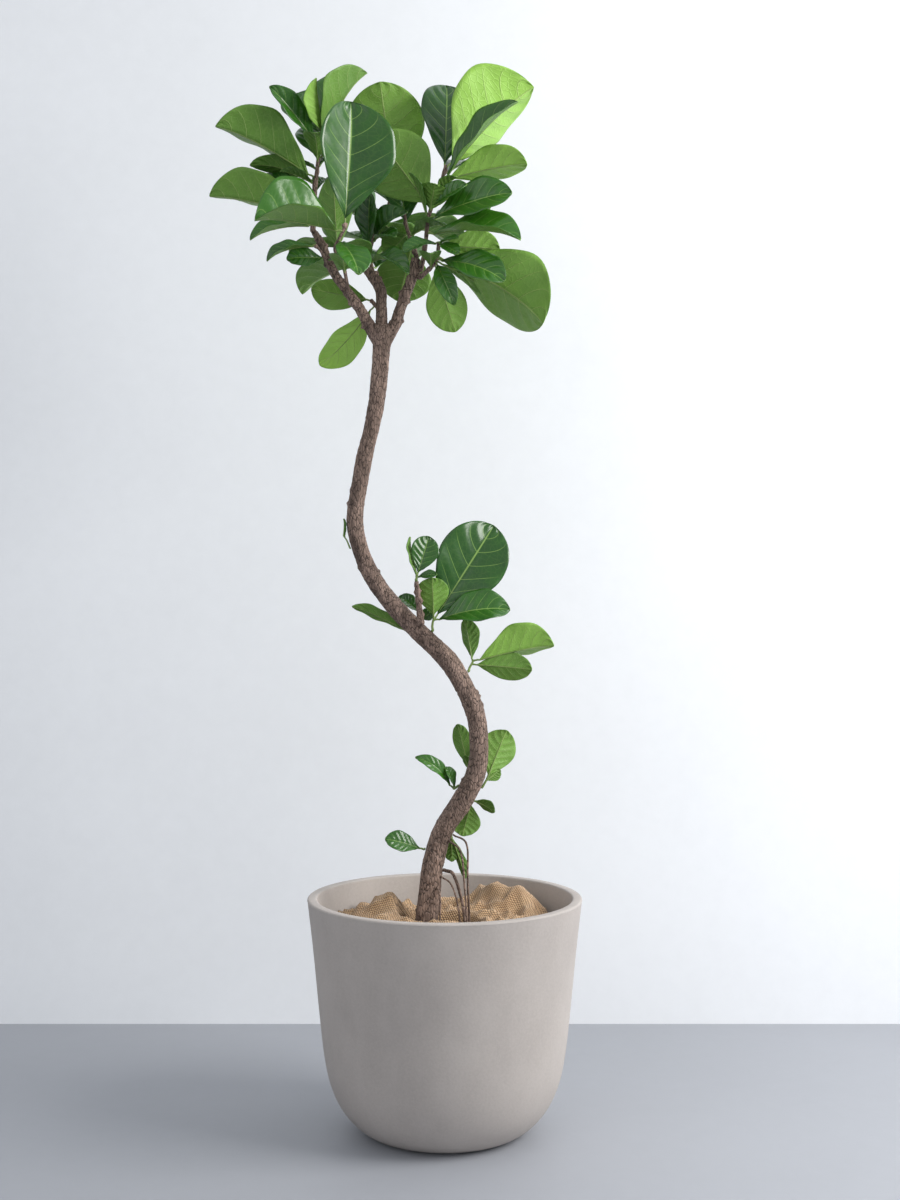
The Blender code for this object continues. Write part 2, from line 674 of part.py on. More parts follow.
def fused(name, pieces, surface):
    """One Boolean union on a collection joins the pieces; the pieces are then removed."""
    body, others = pieces[0], pieces[1:]
    body.name = name
    body.data.name = name
    if others:
        group = bpy.data.collections.new(name + "_pieces")
        bpy.context.scene.collection.children.link(group)
        for piece in others:
            group.objects.link(piece)
            bpy.context.scene.collection.objects.unlink(piece)
        union = body.modifiers.new("union", "BOOLEAN")
        union.operation = "UNION"
        union.operand_type = "COLLECTION"
        union.collection = group
        union.solver = "EXACT"
        with bpy.context.temp_override(object=body):
            bpy.ops.object.modifier_apply(modifier=union.name)
        for piece in others:
            bpy.data.objects.remove(piece)
        bpy.data.collections.remove(group)
    keep_largest_body(body.data)
    body.data.materials.clear()
    body.data.materials.append(surface)
    return body


def keep_largest_body(mesh):
    """Drops loose scraps and the inner walls of sealed hollows."""
    bm = bmesh.new()
    bm.from_mesh(mesh)
    left = set(bm.faces)
    bodies = []
    while left:
        found, edge_of = [], [left.pop()]
        while edge_of:
            face = edge_of.pop()
            found.append(face)
            for edge in face.edges:
                beside = edge.link_faces if len(edge.link_faces) == 2 else ()
                for other in beside:
                    if other in left:
                        left.remove(other)
                        edge_of.append(other)
        bodies.append(found)
    largest = max(bodies, key=len)
    scraps = [face for body in bodies if body is not largest for face in body]
    bmesh.ops.delete(bm, geom=scraps, context="FACES")
    bm.to_mesh(mesh)
    bm.free()


def tree_of(piece):
    """A search tree of an object's faces, to tell what touches it."""
    return BVHTree.FromPolygons([vert.co for vert in piece.data.vertices],
                                [face.vertices for face in piece.data.polygons])


def build_shoots(limbs):
    """Each mass of foliage: a stem with its leaves. A leaf that touches a limb or another mass is skipped."""
    rng = random.Random(SEED)
    green = material("leaf", LEAF, 0.45)
    taken = [tree_of(piece) for piece in bpy.context.scene.objects if piece.type == "MESH"]
    routes, pieces, trees = {}, {}, {}
    for name, (seat, points, ends, _) in SHOOTS.items():
        routes[name] = seated_route(seat, points, limbs, STEM_LEAD * ends[0])
        radii = spread(ends, len(routes[name]) - 1)
        stem = finished(name, lofted(limb_rings(routes[name], radii, STEM_SIDES)), green)
        pieces[name], trees[name] = [stem], [tree_of(stem)]
    placed = {name: shoot_leaves(name, routes[name]) for name in SHOOTS}
    ruled = {name: ruled_leaves(name, routes[name], rng) for name in SHOOTS}
    for leaves_of, own_too in ((placed, False), (ruled, True)):
        for name, leaves in leaves_of.items():
            for leaf in leaves:
                blade = finished("leaf", lofted(leaf.rings()), green)
                tree = tree_of(blade)
                near = [other for key in trees if key != name for other in trees[key]]
                if own_too:
                    near += trees[name][1:]
                if any(tree.overlap(other) for other in taken + near):
                    bpy.data.objects.remove(blade)
                    continue
                pieces[name].append(blade)
                trees[name].append(tree)
    for name in SHOOTS:
        fused(name, pieces[name], green)
    return routes


def main():
    for old in list(bpy.data.objects):
        bpy.data.objects.remove(old)
    build_pot()
    build_root_ball()
    build_burlap()
    limbs = build_trunk()
    build_limbs(limbs)
    build_shoots(limbs)


if __name__ == "__main__":
    main()
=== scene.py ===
# %% [markdown]
# A potted dwarf fiddle-leaf fig: a bent woody stem, three boughs, big veined leaves, a round fibre-clay pot
# and jute cloth over the soil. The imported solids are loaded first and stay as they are. Every finished piece
# is built over the solid that it stands for, so that the picture and the physics agree.
# %% Load the frame
import math
import random

import bmesh
import bpy
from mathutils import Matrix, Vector, noise
from mathutils.bvhtree import BVHTree


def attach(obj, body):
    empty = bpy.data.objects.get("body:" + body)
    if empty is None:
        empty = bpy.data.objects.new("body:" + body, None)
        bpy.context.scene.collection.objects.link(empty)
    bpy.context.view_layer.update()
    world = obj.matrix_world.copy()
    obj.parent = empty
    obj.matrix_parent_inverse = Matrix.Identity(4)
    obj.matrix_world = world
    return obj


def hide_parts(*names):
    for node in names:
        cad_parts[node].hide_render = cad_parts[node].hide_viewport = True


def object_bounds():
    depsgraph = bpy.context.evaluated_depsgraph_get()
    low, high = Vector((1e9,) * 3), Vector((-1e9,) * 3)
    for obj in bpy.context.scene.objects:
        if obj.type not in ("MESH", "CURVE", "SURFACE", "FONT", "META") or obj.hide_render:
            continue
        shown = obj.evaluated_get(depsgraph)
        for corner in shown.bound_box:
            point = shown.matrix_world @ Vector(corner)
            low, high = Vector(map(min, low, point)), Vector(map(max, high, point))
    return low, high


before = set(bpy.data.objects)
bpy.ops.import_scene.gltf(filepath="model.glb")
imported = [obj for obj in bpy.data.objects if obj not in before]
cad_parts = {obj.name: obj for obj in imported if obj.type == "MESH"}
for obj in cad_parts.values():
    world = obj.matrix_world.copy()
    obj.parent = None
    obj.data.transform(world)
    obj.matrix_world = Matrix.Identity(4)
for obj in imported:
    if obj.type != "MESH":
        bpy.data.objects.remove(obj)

CAD_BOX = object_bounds()
SEED = 7
print("solids:", len(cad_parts), "box:", CAD_BOX)

# %% [markdown]
# The camera comes early, because it decides what matters. It stands level in front of the plant, at about
# the middle of its height, so that the pot's rim is seen from above and the crown from below. A long lens
# from far off would flatten the pot's rim into a line.
# %% Camera
CAMERA_PLACE = (0.008, -2.407, 0.81)
CAMERA_LENS = 47.1
FILM_WIDTH = 36.0
camera_data = bpy.data.cameras.new("camera")
camera_data.lens = CAMERA_LENS
camera_data.sensor_width = FILM_WIDTH
camera = bpy.data.objects.new("camera", camera_data)
camera.location = CAMERA_PLACE
camera.rotation_euler = (math.pi / 2, 0.0, 0.0)
bpy.context.scene.collection.objects.link(camera)
bpy.context.scene.camera = camera
print("camera at", CAMERA_PLACE, "lens", CAMERA_LENS, "mm")

# %% [markdown]
# A material is a tree of nodes. Helpers make and wire a node in one call, which keeps each material readable
# as a list of what it does. Effects that several materials share are node groups with named sockets.
# %% Node helpers
MIX_FACTOR, MIX_A, MIX_B, MIX_RESULT = 0, 6, 7, 2  # the colour sockets of a Mix node


def add_node(tree, kind, settings=None, values=None):
    """A node with its settings, and with sockets set to a value or linked to another node's output."""
    made = tree.nodes.new(kind)
    for key, value in (settings or {}).items():
        setattr(made, key, value)
    for key, value in (values or {}).items():
        if isinstance(value, bpy.types.NodeSocket):
            tree.links.new(value, made.inputs[key])
        else:
            made.inputs[key].default_value = value
    return made


def maths(tree, operation, *values):
    """The result of a Math node."""
    return add_node(tree, "ShaderNodeMath", {"operation": operation}, dict(enumerate(values))).outputs[0]


def ranged(tree, value, low, high, to_low=0.0, to_high=1.0):
    """A value taken smoothly from one range to another."""
    made = add_node(tree, "ShaderNodeMapRange", {"interpolation_type": "SMOOTHSTEP"},
                    {0: value, 1: low, 2: high, 3: to_low, 4: to_high})
    return made.outputs[0]


def mixed(tree, factor, first, second):
    """A mix of two colours."""
    values = {MIX_FACTOR: factor, MIX_A: first, MIX_B: second}
    return add_node(tree, "ShaderNodeMix", {"data_type": "RGBA"}, values).outputs[MIX_RESULT]


def clouds(tree, place, scale, detail=4.0, roughness=0.55):
    """The value of a Noise Texture. Its scale counts clouds in a metre, or in a unit of its coordinates."""
    values = {"Vector": place, "Scale": scale, "Detail": detail, "Roughness": roughness}
    return add_node(tree, "ShaderNodeTexNoise", {}, values).outputs[0]


def cell_edges(tree, place, scale):
    """The distance to the nearest edge of a Voronoi Texture's cells."""
    settings, values = {"feature": "DISTANCE_TO_EDGE"}, {"Vector": place, "Scale": scale}
    return add_node(tree, "ShaderNodeTexVoronoi", settings, values).outputs["Distance"]


def scaled(tree, place, scale):
    """Coordinates scaled by three numbers, so that a pattern is stretched."""
    return add_node(tree, "ShaderNodeMapping", {}, {"Vector": place, "Scale": scale}).outputs[0]


def attribute(tree, name):
    """A number stored on the mesh."""
    return add_node(tree, "ShaderNodeAttribute", {"attribute_name": name}).outputs["Fac"]


def own_map(tree, name):
    """The piece's own flat coordinates."""
    return add_node(tree, "ShaderNodeUVMap", {"uv_map": name}).outputs[0]


def new_group(name, inputs, outputs):
    """An empty node group with named sockets, and its input and output nodes."""
    group = bpy.data.node_groups.new(name, "ShaderNodeTree")
    for label, kind in inputs.items():
        group.interface.new_socket(name=label, in_out="INPUT", socket_type=kind)
    for label, kind in outputs.items():
        group.interface.new_socket(name=label, in_out="OUTPUT", socket_type=kind)
    return group, group.nodes.new("NodeGroupInput"), group.nodes.new("NodeGroupOutput")


def use_group(tree, group, values):
    """A group placed in a material, or in another group."""
    return add_node(tree, "ShaderNodeGroup", {"node_tree": group}, values)


def new_material(name, roughness):
    """A material with its shader, its tree and a reader of Object coordinates."""
    made = bpy.data.materials.new(name)
    made.use_nodes = True
    tree = made.node_tree
    shader = tree.nodes["Principled BSDF"]
    shader.inputs["Roughness"].default_value = roughness
    place = add_node(tree, "ShaderNodeTexCoord").outputs["Object"]
    return made, tree, shader, place


def bumped(tree, shader, height, strength, distance):
    """A Bump node from a height to the shader's normal."""
    values = {"Height": height, "Strength": strength, "Distance": distance}
    tree.links.new(add_node(tree, "ShaderNodeBump", {}, values).outputs[0], shader.inputs["Normal"])


# %% [markdown]
# Stains and speckles appear on clay, bark, soil and jute alike, only in other sizes. One group makes them:
# broad clouds for the stain, and fine grain for the speckle. Both decide where the light and the dark of the
# finish's two colours lie.
# %% Shared group: weathering
COLOUR, VALUE, VECTOR = "NodeSocketColor", "NodeSocketFloat", "NodeSocketVector"
GRAIN_SHARE = 0.35  # what the grain decides of the colour; the stain decides the rest
STAIN_DETAIL, GRAIN_DETAIL = 5.0, 3.0
GRAIN_ROUGHNESS = 0.7
COLOUR_TURN = (0.30, 0.68)  # the blend's values where the colour is all dark, and all light

weathering, group_in, group_out = new_group(
    "weathering",
    {"Place": VECTOR, "Broad": VALUE, "Fine": VALUE, "Light": COLOUR, "Dark": COLOUR},
    {"Colour": COLOUR, "Grain": VALUE, "Stain": VALUE},
)
given = group_in.outputs
stain = clouds(weathering, given["Place"], given["Broad"], STAIN_DETAIL)
grain = clouds(weathering, given["Place"], given["Fine"], GRAIN_DETAIL, GRAIN_ROUGHNESS)
stain_part = maths(weathering, "MULTIPLY", stain, 1 - GRAIN_SHARE)
blend_by = ranged(weathering, maths(weathering, "MULTIPLY_ADD", grain, GRAIN_SHARE, stain_part), *COLOUR_TURN)
tinted = mixed(weathering, blend_by, given["Dark"], given["Light"])
for label, result in {"Colour": tinted, "Grain": grain, "Stain": stain}.items():
    weathering.links.new(result, group_out.inputs[label])
print("group", weathering.name, "with", len(weathering.nodes), "nodes")


def weathered(tree, place, broad, fine, light, dark):
    """The weathering group in a material: clouds and grains in a metre, and the two colours."""
    values = {"Place": place, "Broad": broad, "Fine": fine, "Light": (*light, 1), "Dark": (*dark, 1)}
    return use_group(tree, weathering, values)


# %% [markdown]
# A fiddle-leaf has a strong pale midrib, six or seven pairs of side veins that curve towards the tip, and a
# fine net between them. The group reads the blade's own coordinates: along it from base to tip, and across it
# from margin to margin. A picture of a leaf could do the same, but a formula stays sharp at any size.
# %% Shared group: leaf veins
VEIN_PAIRS = 6.5
VEIN_RAKE = 0.24  # how far a side vein runs towards the tip, as a share of the blade's length
VEIN_BEND = 1.25
VEIN_FADE = (0.034, 0.008)  # from a vein's edge to its full strength, in spacings of the side veins
MIDRIB_FADE = (0.034, 0.010)  # the same for the midrib, as shares of half the blade
MARGIN_FADE = (1.0, 0.55)  # side veins fade out towards the margin
SIDE_STRENGTH = 0.75
NET_CELLS = (22.0, 13.0, 1.0)  # the net's cells along the blade and across it
NET_FADE = (0.10, 0.0)

leaf_veins, group_in, group_out = new_group("leaf_veins", {"Blade": VECTOR}, {"Veins": VALUE, "Net": VALUE})
blade = group_in.outputs["Blade"]
axes = add_node(leaf_veins, "ShaderNodeSeparateXYZ", {}, {0: blade}).outputs
across = maths(leaf_veins, "ABSOLUTE", maths(leaf_veins, "MULTIPLY_ADD", axes[1], 2.0, -1.0))
bent = maths(leaf_veins, "MULTIPLY", maths(leaf_veins, "POWER", across, VEIN_BEND), VEIN_RAKE)
counted = maths(leaf_veins, "MULTIPLY", maths(leaf_veins, "SUBTRACT", axes[0], bent), VEIN_PAIRS)
from_vein = maths(leaf_veins, "SUBTRACT", maths(leaf_veins, "FRACT", counted), 0.5)
side = ranged(leaf_veins, maths(leaf_veins, "ABSOLUTE", from_vein), *VEIN_FADE)
side = maths(leaf_veins, "MULTIPLY", side, ranged(leaf_veins, across, *MARGIN_FADE))
midrib = ranged(leaf_veins, across, *MIDRIB_FADE)
strong = maths(leaf_veins, "MAXIMUM", midrib, maths(leaf_veins, "MULTIPLY", side, SIDE_STRENGTH))
leaf_veins.links.new(strong, group_out.inputs["Veins"])
stretched = add_node(leaf_veins, "ShaderNodeVectorMath", {"operation": "MULTIPLY"}, {0: blade, 1: NET_CELLS})
net = ranged(leaf_veins, cell_edges(leaf_veins, stretched.outputs[0], 1.0), *NET_FADE)
leaf_veins.links.new(net, group_out.inputs["Net"])
print("group", leaf_veins.name, "with", len(leaf_veins.nodes), "nodes")

# %% [markdown]
# The leaf's two sides differ: waxy and dark above, with veins sunk in, and matt and pale below, with veins
# that stand out. Each leaf carries a tone of its own, from old dark green to fresh lime, and clouds make it
# patchy. One function makes both sides from their own values.
# %% Leaf materials
PATCH_SIZE = 22.0  # clouds in a metre
PATCH_DEPTH = 0.30  # how far the clouds shift a leaf's tone
NET_RELIEF = 0.25  # the net's relief beside the veins'
VEIN_HEIGHT = 0.0012


def leaf_material(name, dark, fresh, vein, roughness, vein_share, net_share, relief):
    """One side of a leaf. A negative relief sinks the veins."""
    made, tree, shader, place = new_material(name, roughness)
    pattern = use_group(tree, leaf_veins, {"Blade": own_map(tree, "Blade")})
    veins, net = pattern.outputs["Veins"], pattern.outputs["Net"]
    lowest = maths(tree, "SUBTRACT", attribute(tree, "tone"), PATCH_DEPTH / 2)
    patchy = maths(tree, "MULTIPLY_ADD", clouds(tree, place, PATCH_SIZE), PATCH_DEPTH, lowest)
    ground = mixed(tree, patchy, (*dark, 1), (*fresh, 1))
    netted = mixed(tree, maths(tree, "MULTIPLY", net, net_share), ground, (*vein, 1))
    veined = mixed(tree, maths(tree, "MULTIPLY", veins, vein_share), netted, (*vein, 1))
    tree.links.new(veined, shader.inputs["Base Color"])
    bumped(tree, shader, maths(tree, "MULTIPLY_ADD", net, NET_RELIEF, veins), relief, VEIN_HEIGHT)
    return made, shader


leaf_upper, waxy = leaf_material(
    "leaf_upper", dark=(0.007, 0.052, 0.007), fresh=(0.090, 0.345, 0.012), vein=(0.300, 0.480, 0.110),
    roughness=0.28, vein_share=0.70, net_share=0.05, relief=-0.45)
waxy.inputs["Coat Weight"].default_value = 0.25
waxy.inputs["Coat Roughness"].default_value = 0.18
leaf_under, _ = leaf_material(
    "leaf_under", dark=(0.030, 0.118, 0.010), fresh=(0.320, 0.590, 0.085), vein=(0.400, 0.560, 0.160),
    roughness=0.52, vein_share=0.75, net_share=0.10, relief=0.8)

twig_green, tree, shader, place = new_material("green_twig", roughness=0.5)
tint = weathered(tree, place, broad=60.0, fine=500.0, light=(0.26, 0.36, 0.10), dark=(0.12, 0.20, 0.05))
tree.links.new(tint.outputs["Colour"], shader.inputs["Base Color"])
bumped(tree, shader, tint.outputs["Grain"], strength=0.3, distance=0.0005)
print("materials:", leaf_upper.name, leaf_under.name, twig_green.name)

# %% [markdown]
# Bark on a young fig is grey-brown, with dark cracks along the stem between corky plates. The shape itself
# carries the deep cracks, and stores how deep each place is, so that the material can paint shade into them.
# Stretched cells add the fine cracks that a mesh would need too many faces for, drawn near black: their own
# dark colour with painted shade in them.
# %% Bark
BARK_STRETCH = (1.0, 1.0, 0.30)  # the plates are long along an upright stem
PLATES = 270.0  # in a metre round the stem
CRACK_FADE = (0.09, 0.0)  # the distance from a plate's edge where a crack begins, and where it is dark
PLATE_ROUND = (0.0, 0.2)  # the distances where the plate begins to rise, and where it is full
PLATE_RISE = 0.7  # beside the grain's
# the fine cracks' near-black colour: their own dark colour with painted shade in them
CRACK_DARK_AND_SHADE = (0.028, 0.018, 0.014, 1)
# painted shade in the deep cracks of the shape, darker where they are deeper
PAINTED_CRACK_SHADE = (0.030, 0.019, 0.015, 1)
CRACK_SHADE_SHARE = 0.45

bark, tree, shader, place = new_material("bark", roughness=0.85)
stretched = scaled(tree, place, BARK_STRETCH)
tint = weathered(tree, stretched, broad=55.0, fine=420.0, light=(0.40, 0.28, 0.225),
                 dark=(0.100, 0.066, 0.050))
plates = cell_edges(tree, stretched, PLATES)
# fine crack lines drawn near black: the cracks' own colour and painted shade
cracked_and_shaded = mixed(tree, ranged(tree, plates, *CRACK_FADE), tint.outputs["Colour"], CRACK_DARK_AND_SHADE)
# the painted shade in the deep cracks, by the depth that the mesh stores
deep = maths(tree, "MULTIPLY", attribute(tree, "crack"), CRACK_SHADE_SHARE)
tree.links.new(mixed(tree, deep, cracked_and_shaded, PAINTED_CRACK_SHADE), shader.inputs["Base Color"])
rise = ranged(tree, plates, *PLATE_ROUND)
relief = maths(tree, "MULTIPLY_ADD", rise, PLATE_RISE, tint.outputs["Grain"])
bumped(tree, shader, relief, strength=0.8, distance=0.0012)
print("material", bark.name, "with", len(tree.nodes), "nodes")

# %% [markdown]
# The pot is cement mixed with clay and fibre: a dull warm grey, faintly cloudy, with pale brushed streaks
# down its wall. The stain also drives the roughness, so that the light breaks up on it.
# %% Fibre clay
BRUSH = (26.0, 26.0, 9.0)  # streaks in a metre, across and up
STREAK_PALE = (0.53, 0.495, 0.470, 1)
STREAK_FADE = (0.35, 0.75, 0.0, 0.22)  # from and to in the streaks' noise, and from and to in paleness
STREAK_RISE = 0.6  # beside the grain's
DULLNESS = (0.3, 0.7, 0.74, 0.92)  # from and to in the stain, and from and to in roughness

clay, tree, shader, place = new_material("fibre_clay", roughness=0.82)
tint = weathered(tree, place, broad=5.0, fine=260.0, light=(0.470, 0.432, 0.405),
                 dark=(0.385, 0.350, 0.330))
streaks = clouds(tree, scaled(tree, place, BRUSH), scale=1.0, detail=3.0)
pale = ranged(tree, streaks, *STREAK_FADE)
tree.links.new(mixed(tree, pale, tint.outputs["Colour"], STREAK_PALE), shader.inputs["Base Color"])
tree.links.new(ranged(tree, tint.outputs["Stain"], *DULLNESS), shader.inputs["Roughness"])
relief = maths(tree, "MULTIPLY_ADD", streaks, STREAK_RISE, tint.outputs["Grain"])
bumped(tree, shader, relief, strength=0.25, distance=0.0010)
print("material", clay.name, "with", len(tree.nodes), "nodes")

# %% [markdown]
# The soil shows only through the hole in the cloth, dark and crumbly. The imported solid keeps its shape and
# gets this finish in its slot.
# %% Soil
soil, tree, shader, place = new_material("soil", roughness=0.95)
tint = weathered(tree, place, broad=90.0, fine=420.0, light=(0.11, 0.075, 0.05), dark=(0.02, 0.014, 0.010))
tree.links.new(tint.outputs["Colour"], shader.inputs["Base Color"])
bumped(tree, shader, tint.outputs["Grain"], strength=1.0, distance=0.004)
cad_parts["root_ball"].material_slots[0].material = soil
print("material", soil.name, "on root_ball")

# %% [markdown]
# Jute sacking is an open plain weave of hairy golden threads. Two sine waves over the cloth's own flat
# coordinates make the threads and the holes between them, noise lets the threads wander, and a little sheen
# stands for the hairs.
# %% Jute
WEAVE_PITCH = 0.0034
THREAD_WANDER = (3.0, 3.0, 0.0)  # in threads
WANDER_SCALE = 0.09  # waves of the wander in a thread's breadth
CROSSING = 0.25  # how much higher one thread lies over the other where they cross
HOLE_DARK = (0.12, 0.07, 0.035, 1)
HOLE_FADE = (0.02, 0.35)  # the weave's height where a hole is dark, and where the thread is full
GRAIN_RISE = 0.3  # beside the weave's

jute, tree, shader, place = new_material("jute", roughness=0.9)
flat_cloth = own_map(tree, "Weave")
wander = add_node(tree, "ShaderNodeTexNoise", {}, {"Vector": flat_cloth, "Scale": WANDER_SCALE})
threads_at = add_node(tree, "ShaderNodeVectorMath", {"operation": "MULTIPLY_ADD"},
                      {0: wander.outputs["Color"], 1: THREAD_WANDER, 2: flat_cloth}).outputs[0]
axes = add_node(tree, "ShaderNodeSeparateXYZ", {}, {0: threads_at}).outputs
warp, weft = [maths(tree, "SINE", maths(tree, "MULTIPLY", axes[i], math.pi)) for i in range(2)]
threads = maths(tree, "MULTIPLY", maths(tree, "ABSOLUTE", warp), maths(tree, "ABSOLUTE", weft))
over = maths(tree, "MULTIPLY_ADD", maths(tree, "MULTIPLY", warp, weft), CROSSING, threads)
tint = weathered(tree, place, broad=40.0, fine=600.0, light=(0.70, 0.47, 0.27), dark=(0.44, 0.27, 0.14))
woven = mixed(tree, ranged(tree, over, *HOLE_FADE), HOLE_DARK, tint.outputs["Colour"])
tree.links.new(woven, shader.inputs["Base Color"])
relief = maths(tree, "MULTIPLY_ADD", tint.outputs["Grain"], GRAIN_RISE, over)
bumped(tree, shader, relief, strength=0.9, distance=0.0014)
shader.inputs["Sheen Weight"].default_value = 0.2
print("material", jute.name, "with", len(tree.nodes), "nodes")

# %% [markdown]
# Shapes are lofted or spun. A loft extrudes a face from one ring of points to the next, which suits limbs and
# stems. A spin turns a profile about an axis, which suits the pot.
# %% Shape helpers
MERGE = 0.00001  # points nearer than this are one


def finished(name, bm, surfaces, node_names):
    """The bmesh as a piece at the origin that rides on the root and stands for its solids."""
    mesh = bpy.data.meshes.new(name)
    bm.to_mesh(mesh)
    bm.free()
    mesh.shade_smooth()
    for surface in surfaces:
        mesh.materials.append(surface)
    made = bpy.data.objects.new(name, mesh)
    bpy.context.scene.collection.objects.link(made)
    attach(made, "root")
    if node_names:
        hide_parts(*node_names)
    print(f"{name}: {len(mesh.polygons)} faces")
    return made


def lofted(rings):
    """A closed body through rings of points: the first ring's face is extruded from each ring to the next."""
    bm = bmesh.new()
    face = bm.faces.new([bm.verts.new(place) for place in rings[0]])
    for ring in rings[1:]:
        face = bmesh.ops.extrude_discrete_faces(bm, faces=[face])["faces"][0]
        for vert, place in zip(face.verts, ring):
            vert.co = place
    bmesh.ops.holes_fill(bm, edges=[edge for edge in bm.edges if edge.is_boundary], sides=0)
    return bm


def smooth_route(points, steps):
    """Points on a smooth curve that passes through the given ones (Catmull-Rom)."""
    points = [Vector(point) for point in points]
    padded = [2 * points[0] - points[1], *points, 2 * points[-1] - points[-2]]
    route = []
    for a, b, c, d in zip(padded, padded[1:], padded[2:], padded[3:]):
        for step in range(steps):
            t = step / steps
            route.append(0.5 * (2 * b + (c - a) * t + (2 * a - 5 * b + 4 * c - d) * t * t
                                + (3 * b - a - 3 * c + d) * t ** 3))
    return route + [points[-1]]


def spread(values, steps):
    """The given values and, between each two, the even steps that smooth_route makes."""
    out = []
    for low, high in zip(values, values[1:]):
        out += [low + (high - low) * step / steps for step in range(steps)]
    return out + [values[-1]]


def along(route, share):
    """The point at a share of a route's length."""
    lengths = [(b - a).length for a, b in zip(route, route[1:])]
    left = share * sum(lengths)
    for a, b, length in zip(route, route[1:], lengths):
        if left <= length or b is route[-1]:
            return a.lerp(b, min(left / length, 1.0))
        left -= length


def ring_frames(route):
    """Two axes across the route at each of its points, turned as little as can be from one to the next."""
    tangents = []
    for i in range(len(route)):
        tangents.append((route[min(i + 1, len(route) - 1)] - route[max(i - 1, 0)]).normalized())
    side = tangents[0].orthogonal().normalized()
    frames = []
    for tangent in tangents:
        side = (side - tangent * side.dot(tangent)).normalized()
        frames.append((side, tangent.cross(side)))
    return frames


def limb_rings(route, radii, sides):
    """Rings of a round limb; each radius may be one length, or a function of the angle."""
    rings = []
    for place, radius, (side, other) in zip(route, radii, ring_frames(route)):
        ring = []
        for i in range(sides):
            angle = math.tau * i / sides
            reach = radius(angle) if callable(radius) else radius
            ring.append(place + (side * math.cos(angle) + other * math.sin(angle)) * reach)
        rings.append(ring)
    return rings


def looking(azimuth, rise):
    """The direction of an azimuth, counted from the front round to the right, and a rise."""
    azimuth, rise = math.radians(azimuth), math.radians(rise)
    return Vector((math.sin(azimuth) * math.cos(rise), -math.cos(azimuth) * math.cos(rise), math.sin(rise)))


# %% [markdown]
# The pot is one turned wall of fibre clay with a narrow flat foot, a round belly and a soft rim. The solid
# has the same profile in fewer steps. A spin needs only half of a cross-section, and merges the seam.
# %% Pot
POT_HEIGHT = 0.356
POT_WALL = 0.015
POT_FLOOR = 0.022
RIM_ROUND = 0.003
RIM_STEPS = 4
RIM_LEAN = 0.0003  # the wall leans out by this much over the rim's round
INNER_CORNER = (0.012, 0.010)  # the slope between floor and wall, inwards and up
# outer radius over height, from the flat foot through the round belly to the rim
POT_PROFILE = (
    (0.100, 0.000), (0.117, 0.003), (0.133, 0.012), (0.147, 0.025), (0.160, 0.042), (0.171, 0.064),
    (0.180, 0.094), (0.187, 0.138), (0.194, 0.205), (0.201, 0.277), (0.210, POT_HEIGHT),
)
TURNED_STEPS = 144
PROFILE_STEPS = 4
SHARP_ANGLE = 50


def outer_radius(height):
    """The pot's outer radius at a height."""
    for (r0, z0), (r1, z1) in zip(POT_PROFILE, POT_PROFILE[1:]):
        if height <= z1:
            return r0 + (r1 - r0) * (height - z0) / (z1 - z0)
    return POT_PROFILE[-1][0]


def inner_radius(height):
    """The pot's inner radius at a height."""
    return outer_radius(height) - POT_WALL


def rim_corner(centre_radius, start):
    """A quarter round of the rim from a start angle in degrees."""
    centre_height = POT_HEIGHT - RIM_ROUND
    turns = [math.radians(start + 90 * step / RIM_STEPS) for step in range(RIM_STEPS + 1)]
    return [(centre_radius + RIM_ROUND * math.cos(turn), centre_height + RIM_ROUND * math.sin(turn))
            for turn in turns]


rim_radius = POT_PROFILE[-1][0]
outside = [*POT_PROFILE[:-1], (rim_radius - RIM_LEAN, POT_HEIGHT - RIM_ROUND)]
belly = [(place.x, place.z) for place in smooth_route([(r, 0.0, z) for r, z in outside], PROFILE_STEPS)]
rim = rim_corner(rim_radius - RIM_ROUND, 0) + rim_corner(rim_radius - POT_WALL + RIM_ROUND, 90)
corner_height = POT_FLOOR + INNER_CORNER[1]
inside = [(inner_radius(z), z) for _, z in reversed(POT_PROFILE) if corner_height < z < POT_HEIGHT]
floor_edge = (inner_radius(corner_height) - INNER_CORNER[0], POT_FLOOR)
profile = [(0.0, 0.0), *belly, *rim, *inside, floor_edge, (0.0, POT_FLOOR)]
bm = bmesh.new()
verts = [bm.verts.new((r, 0.0, z)) for r, z in profile]
edges = [bm.edges.new(pair) for pair in zip(verts, verts[1:])]
bmesh.ops.spin(bm, geom=verts + edges, cent=(0, 0, 0), axis=(0, 0, 1), angle=math.tau, steps=TURNED_STEPS,
               use_merge=True)
bmesh.ops.remove_doubles(bm, verts=bm.verts, dist=MERGE)
bmesh.ops.recalc_face_normals(bm, faces=bm.faces)
pot = finished("pot_wall", bm, [clay], ["pot"])
pot.data.set_sharp_from_angle(angle=math.radians(SHARP_ANGLE))

# %% [markdown]
# Jute cloth hides the soil. It was a square of coarse sacking, pushed down round the stem and against the
# wall, so that it stands in soft heaps with creases. Cloth simulation could drop it in, but its heaps have to
# stay on the solid's, so a grid is laid round the hole and raised by the heaps and by noise for the creases.
# %% Jute cloth: heaps and creases
SOIL_TOP = 0.290
BURLAP_EDGE = 0.024  # the cloth's height over the soil where it meets the pot
BURLAP_MOST = 0.062
# folds heaped over the soil: right, back, height over the edge, spread
BURLAP_MOUNDS = (
    (-0.095, 0.020, 0.030, 0.042), (-0.030, 0.000, 0.014, 0.070), (0.068, 0.100, 0.036, 0.042),
    (0.118, 0.080, 0.032, 0.036), (0.090, -0.060, 0.010, 0.060), (-0.060, -0.100, 0.008, 0.050),
)
CREASE = 0.0100
CREASE_LEAST = -1.2  # the deepest valley, in creases
RUMPLE = 0.0026
# each pattern of creases: how right and back turn into its two coordinates, and its layer of the noise
LONG_WAY = ((16, 9), (-5, 26), 3.1)
CROSS_WAY = ((34, -12), (14, 20), 5.9)
SMALL = ((85, 0), (0, 105), 8.7)
LONG_SHARE, CROSS_SHARE = 3.2, 1.6


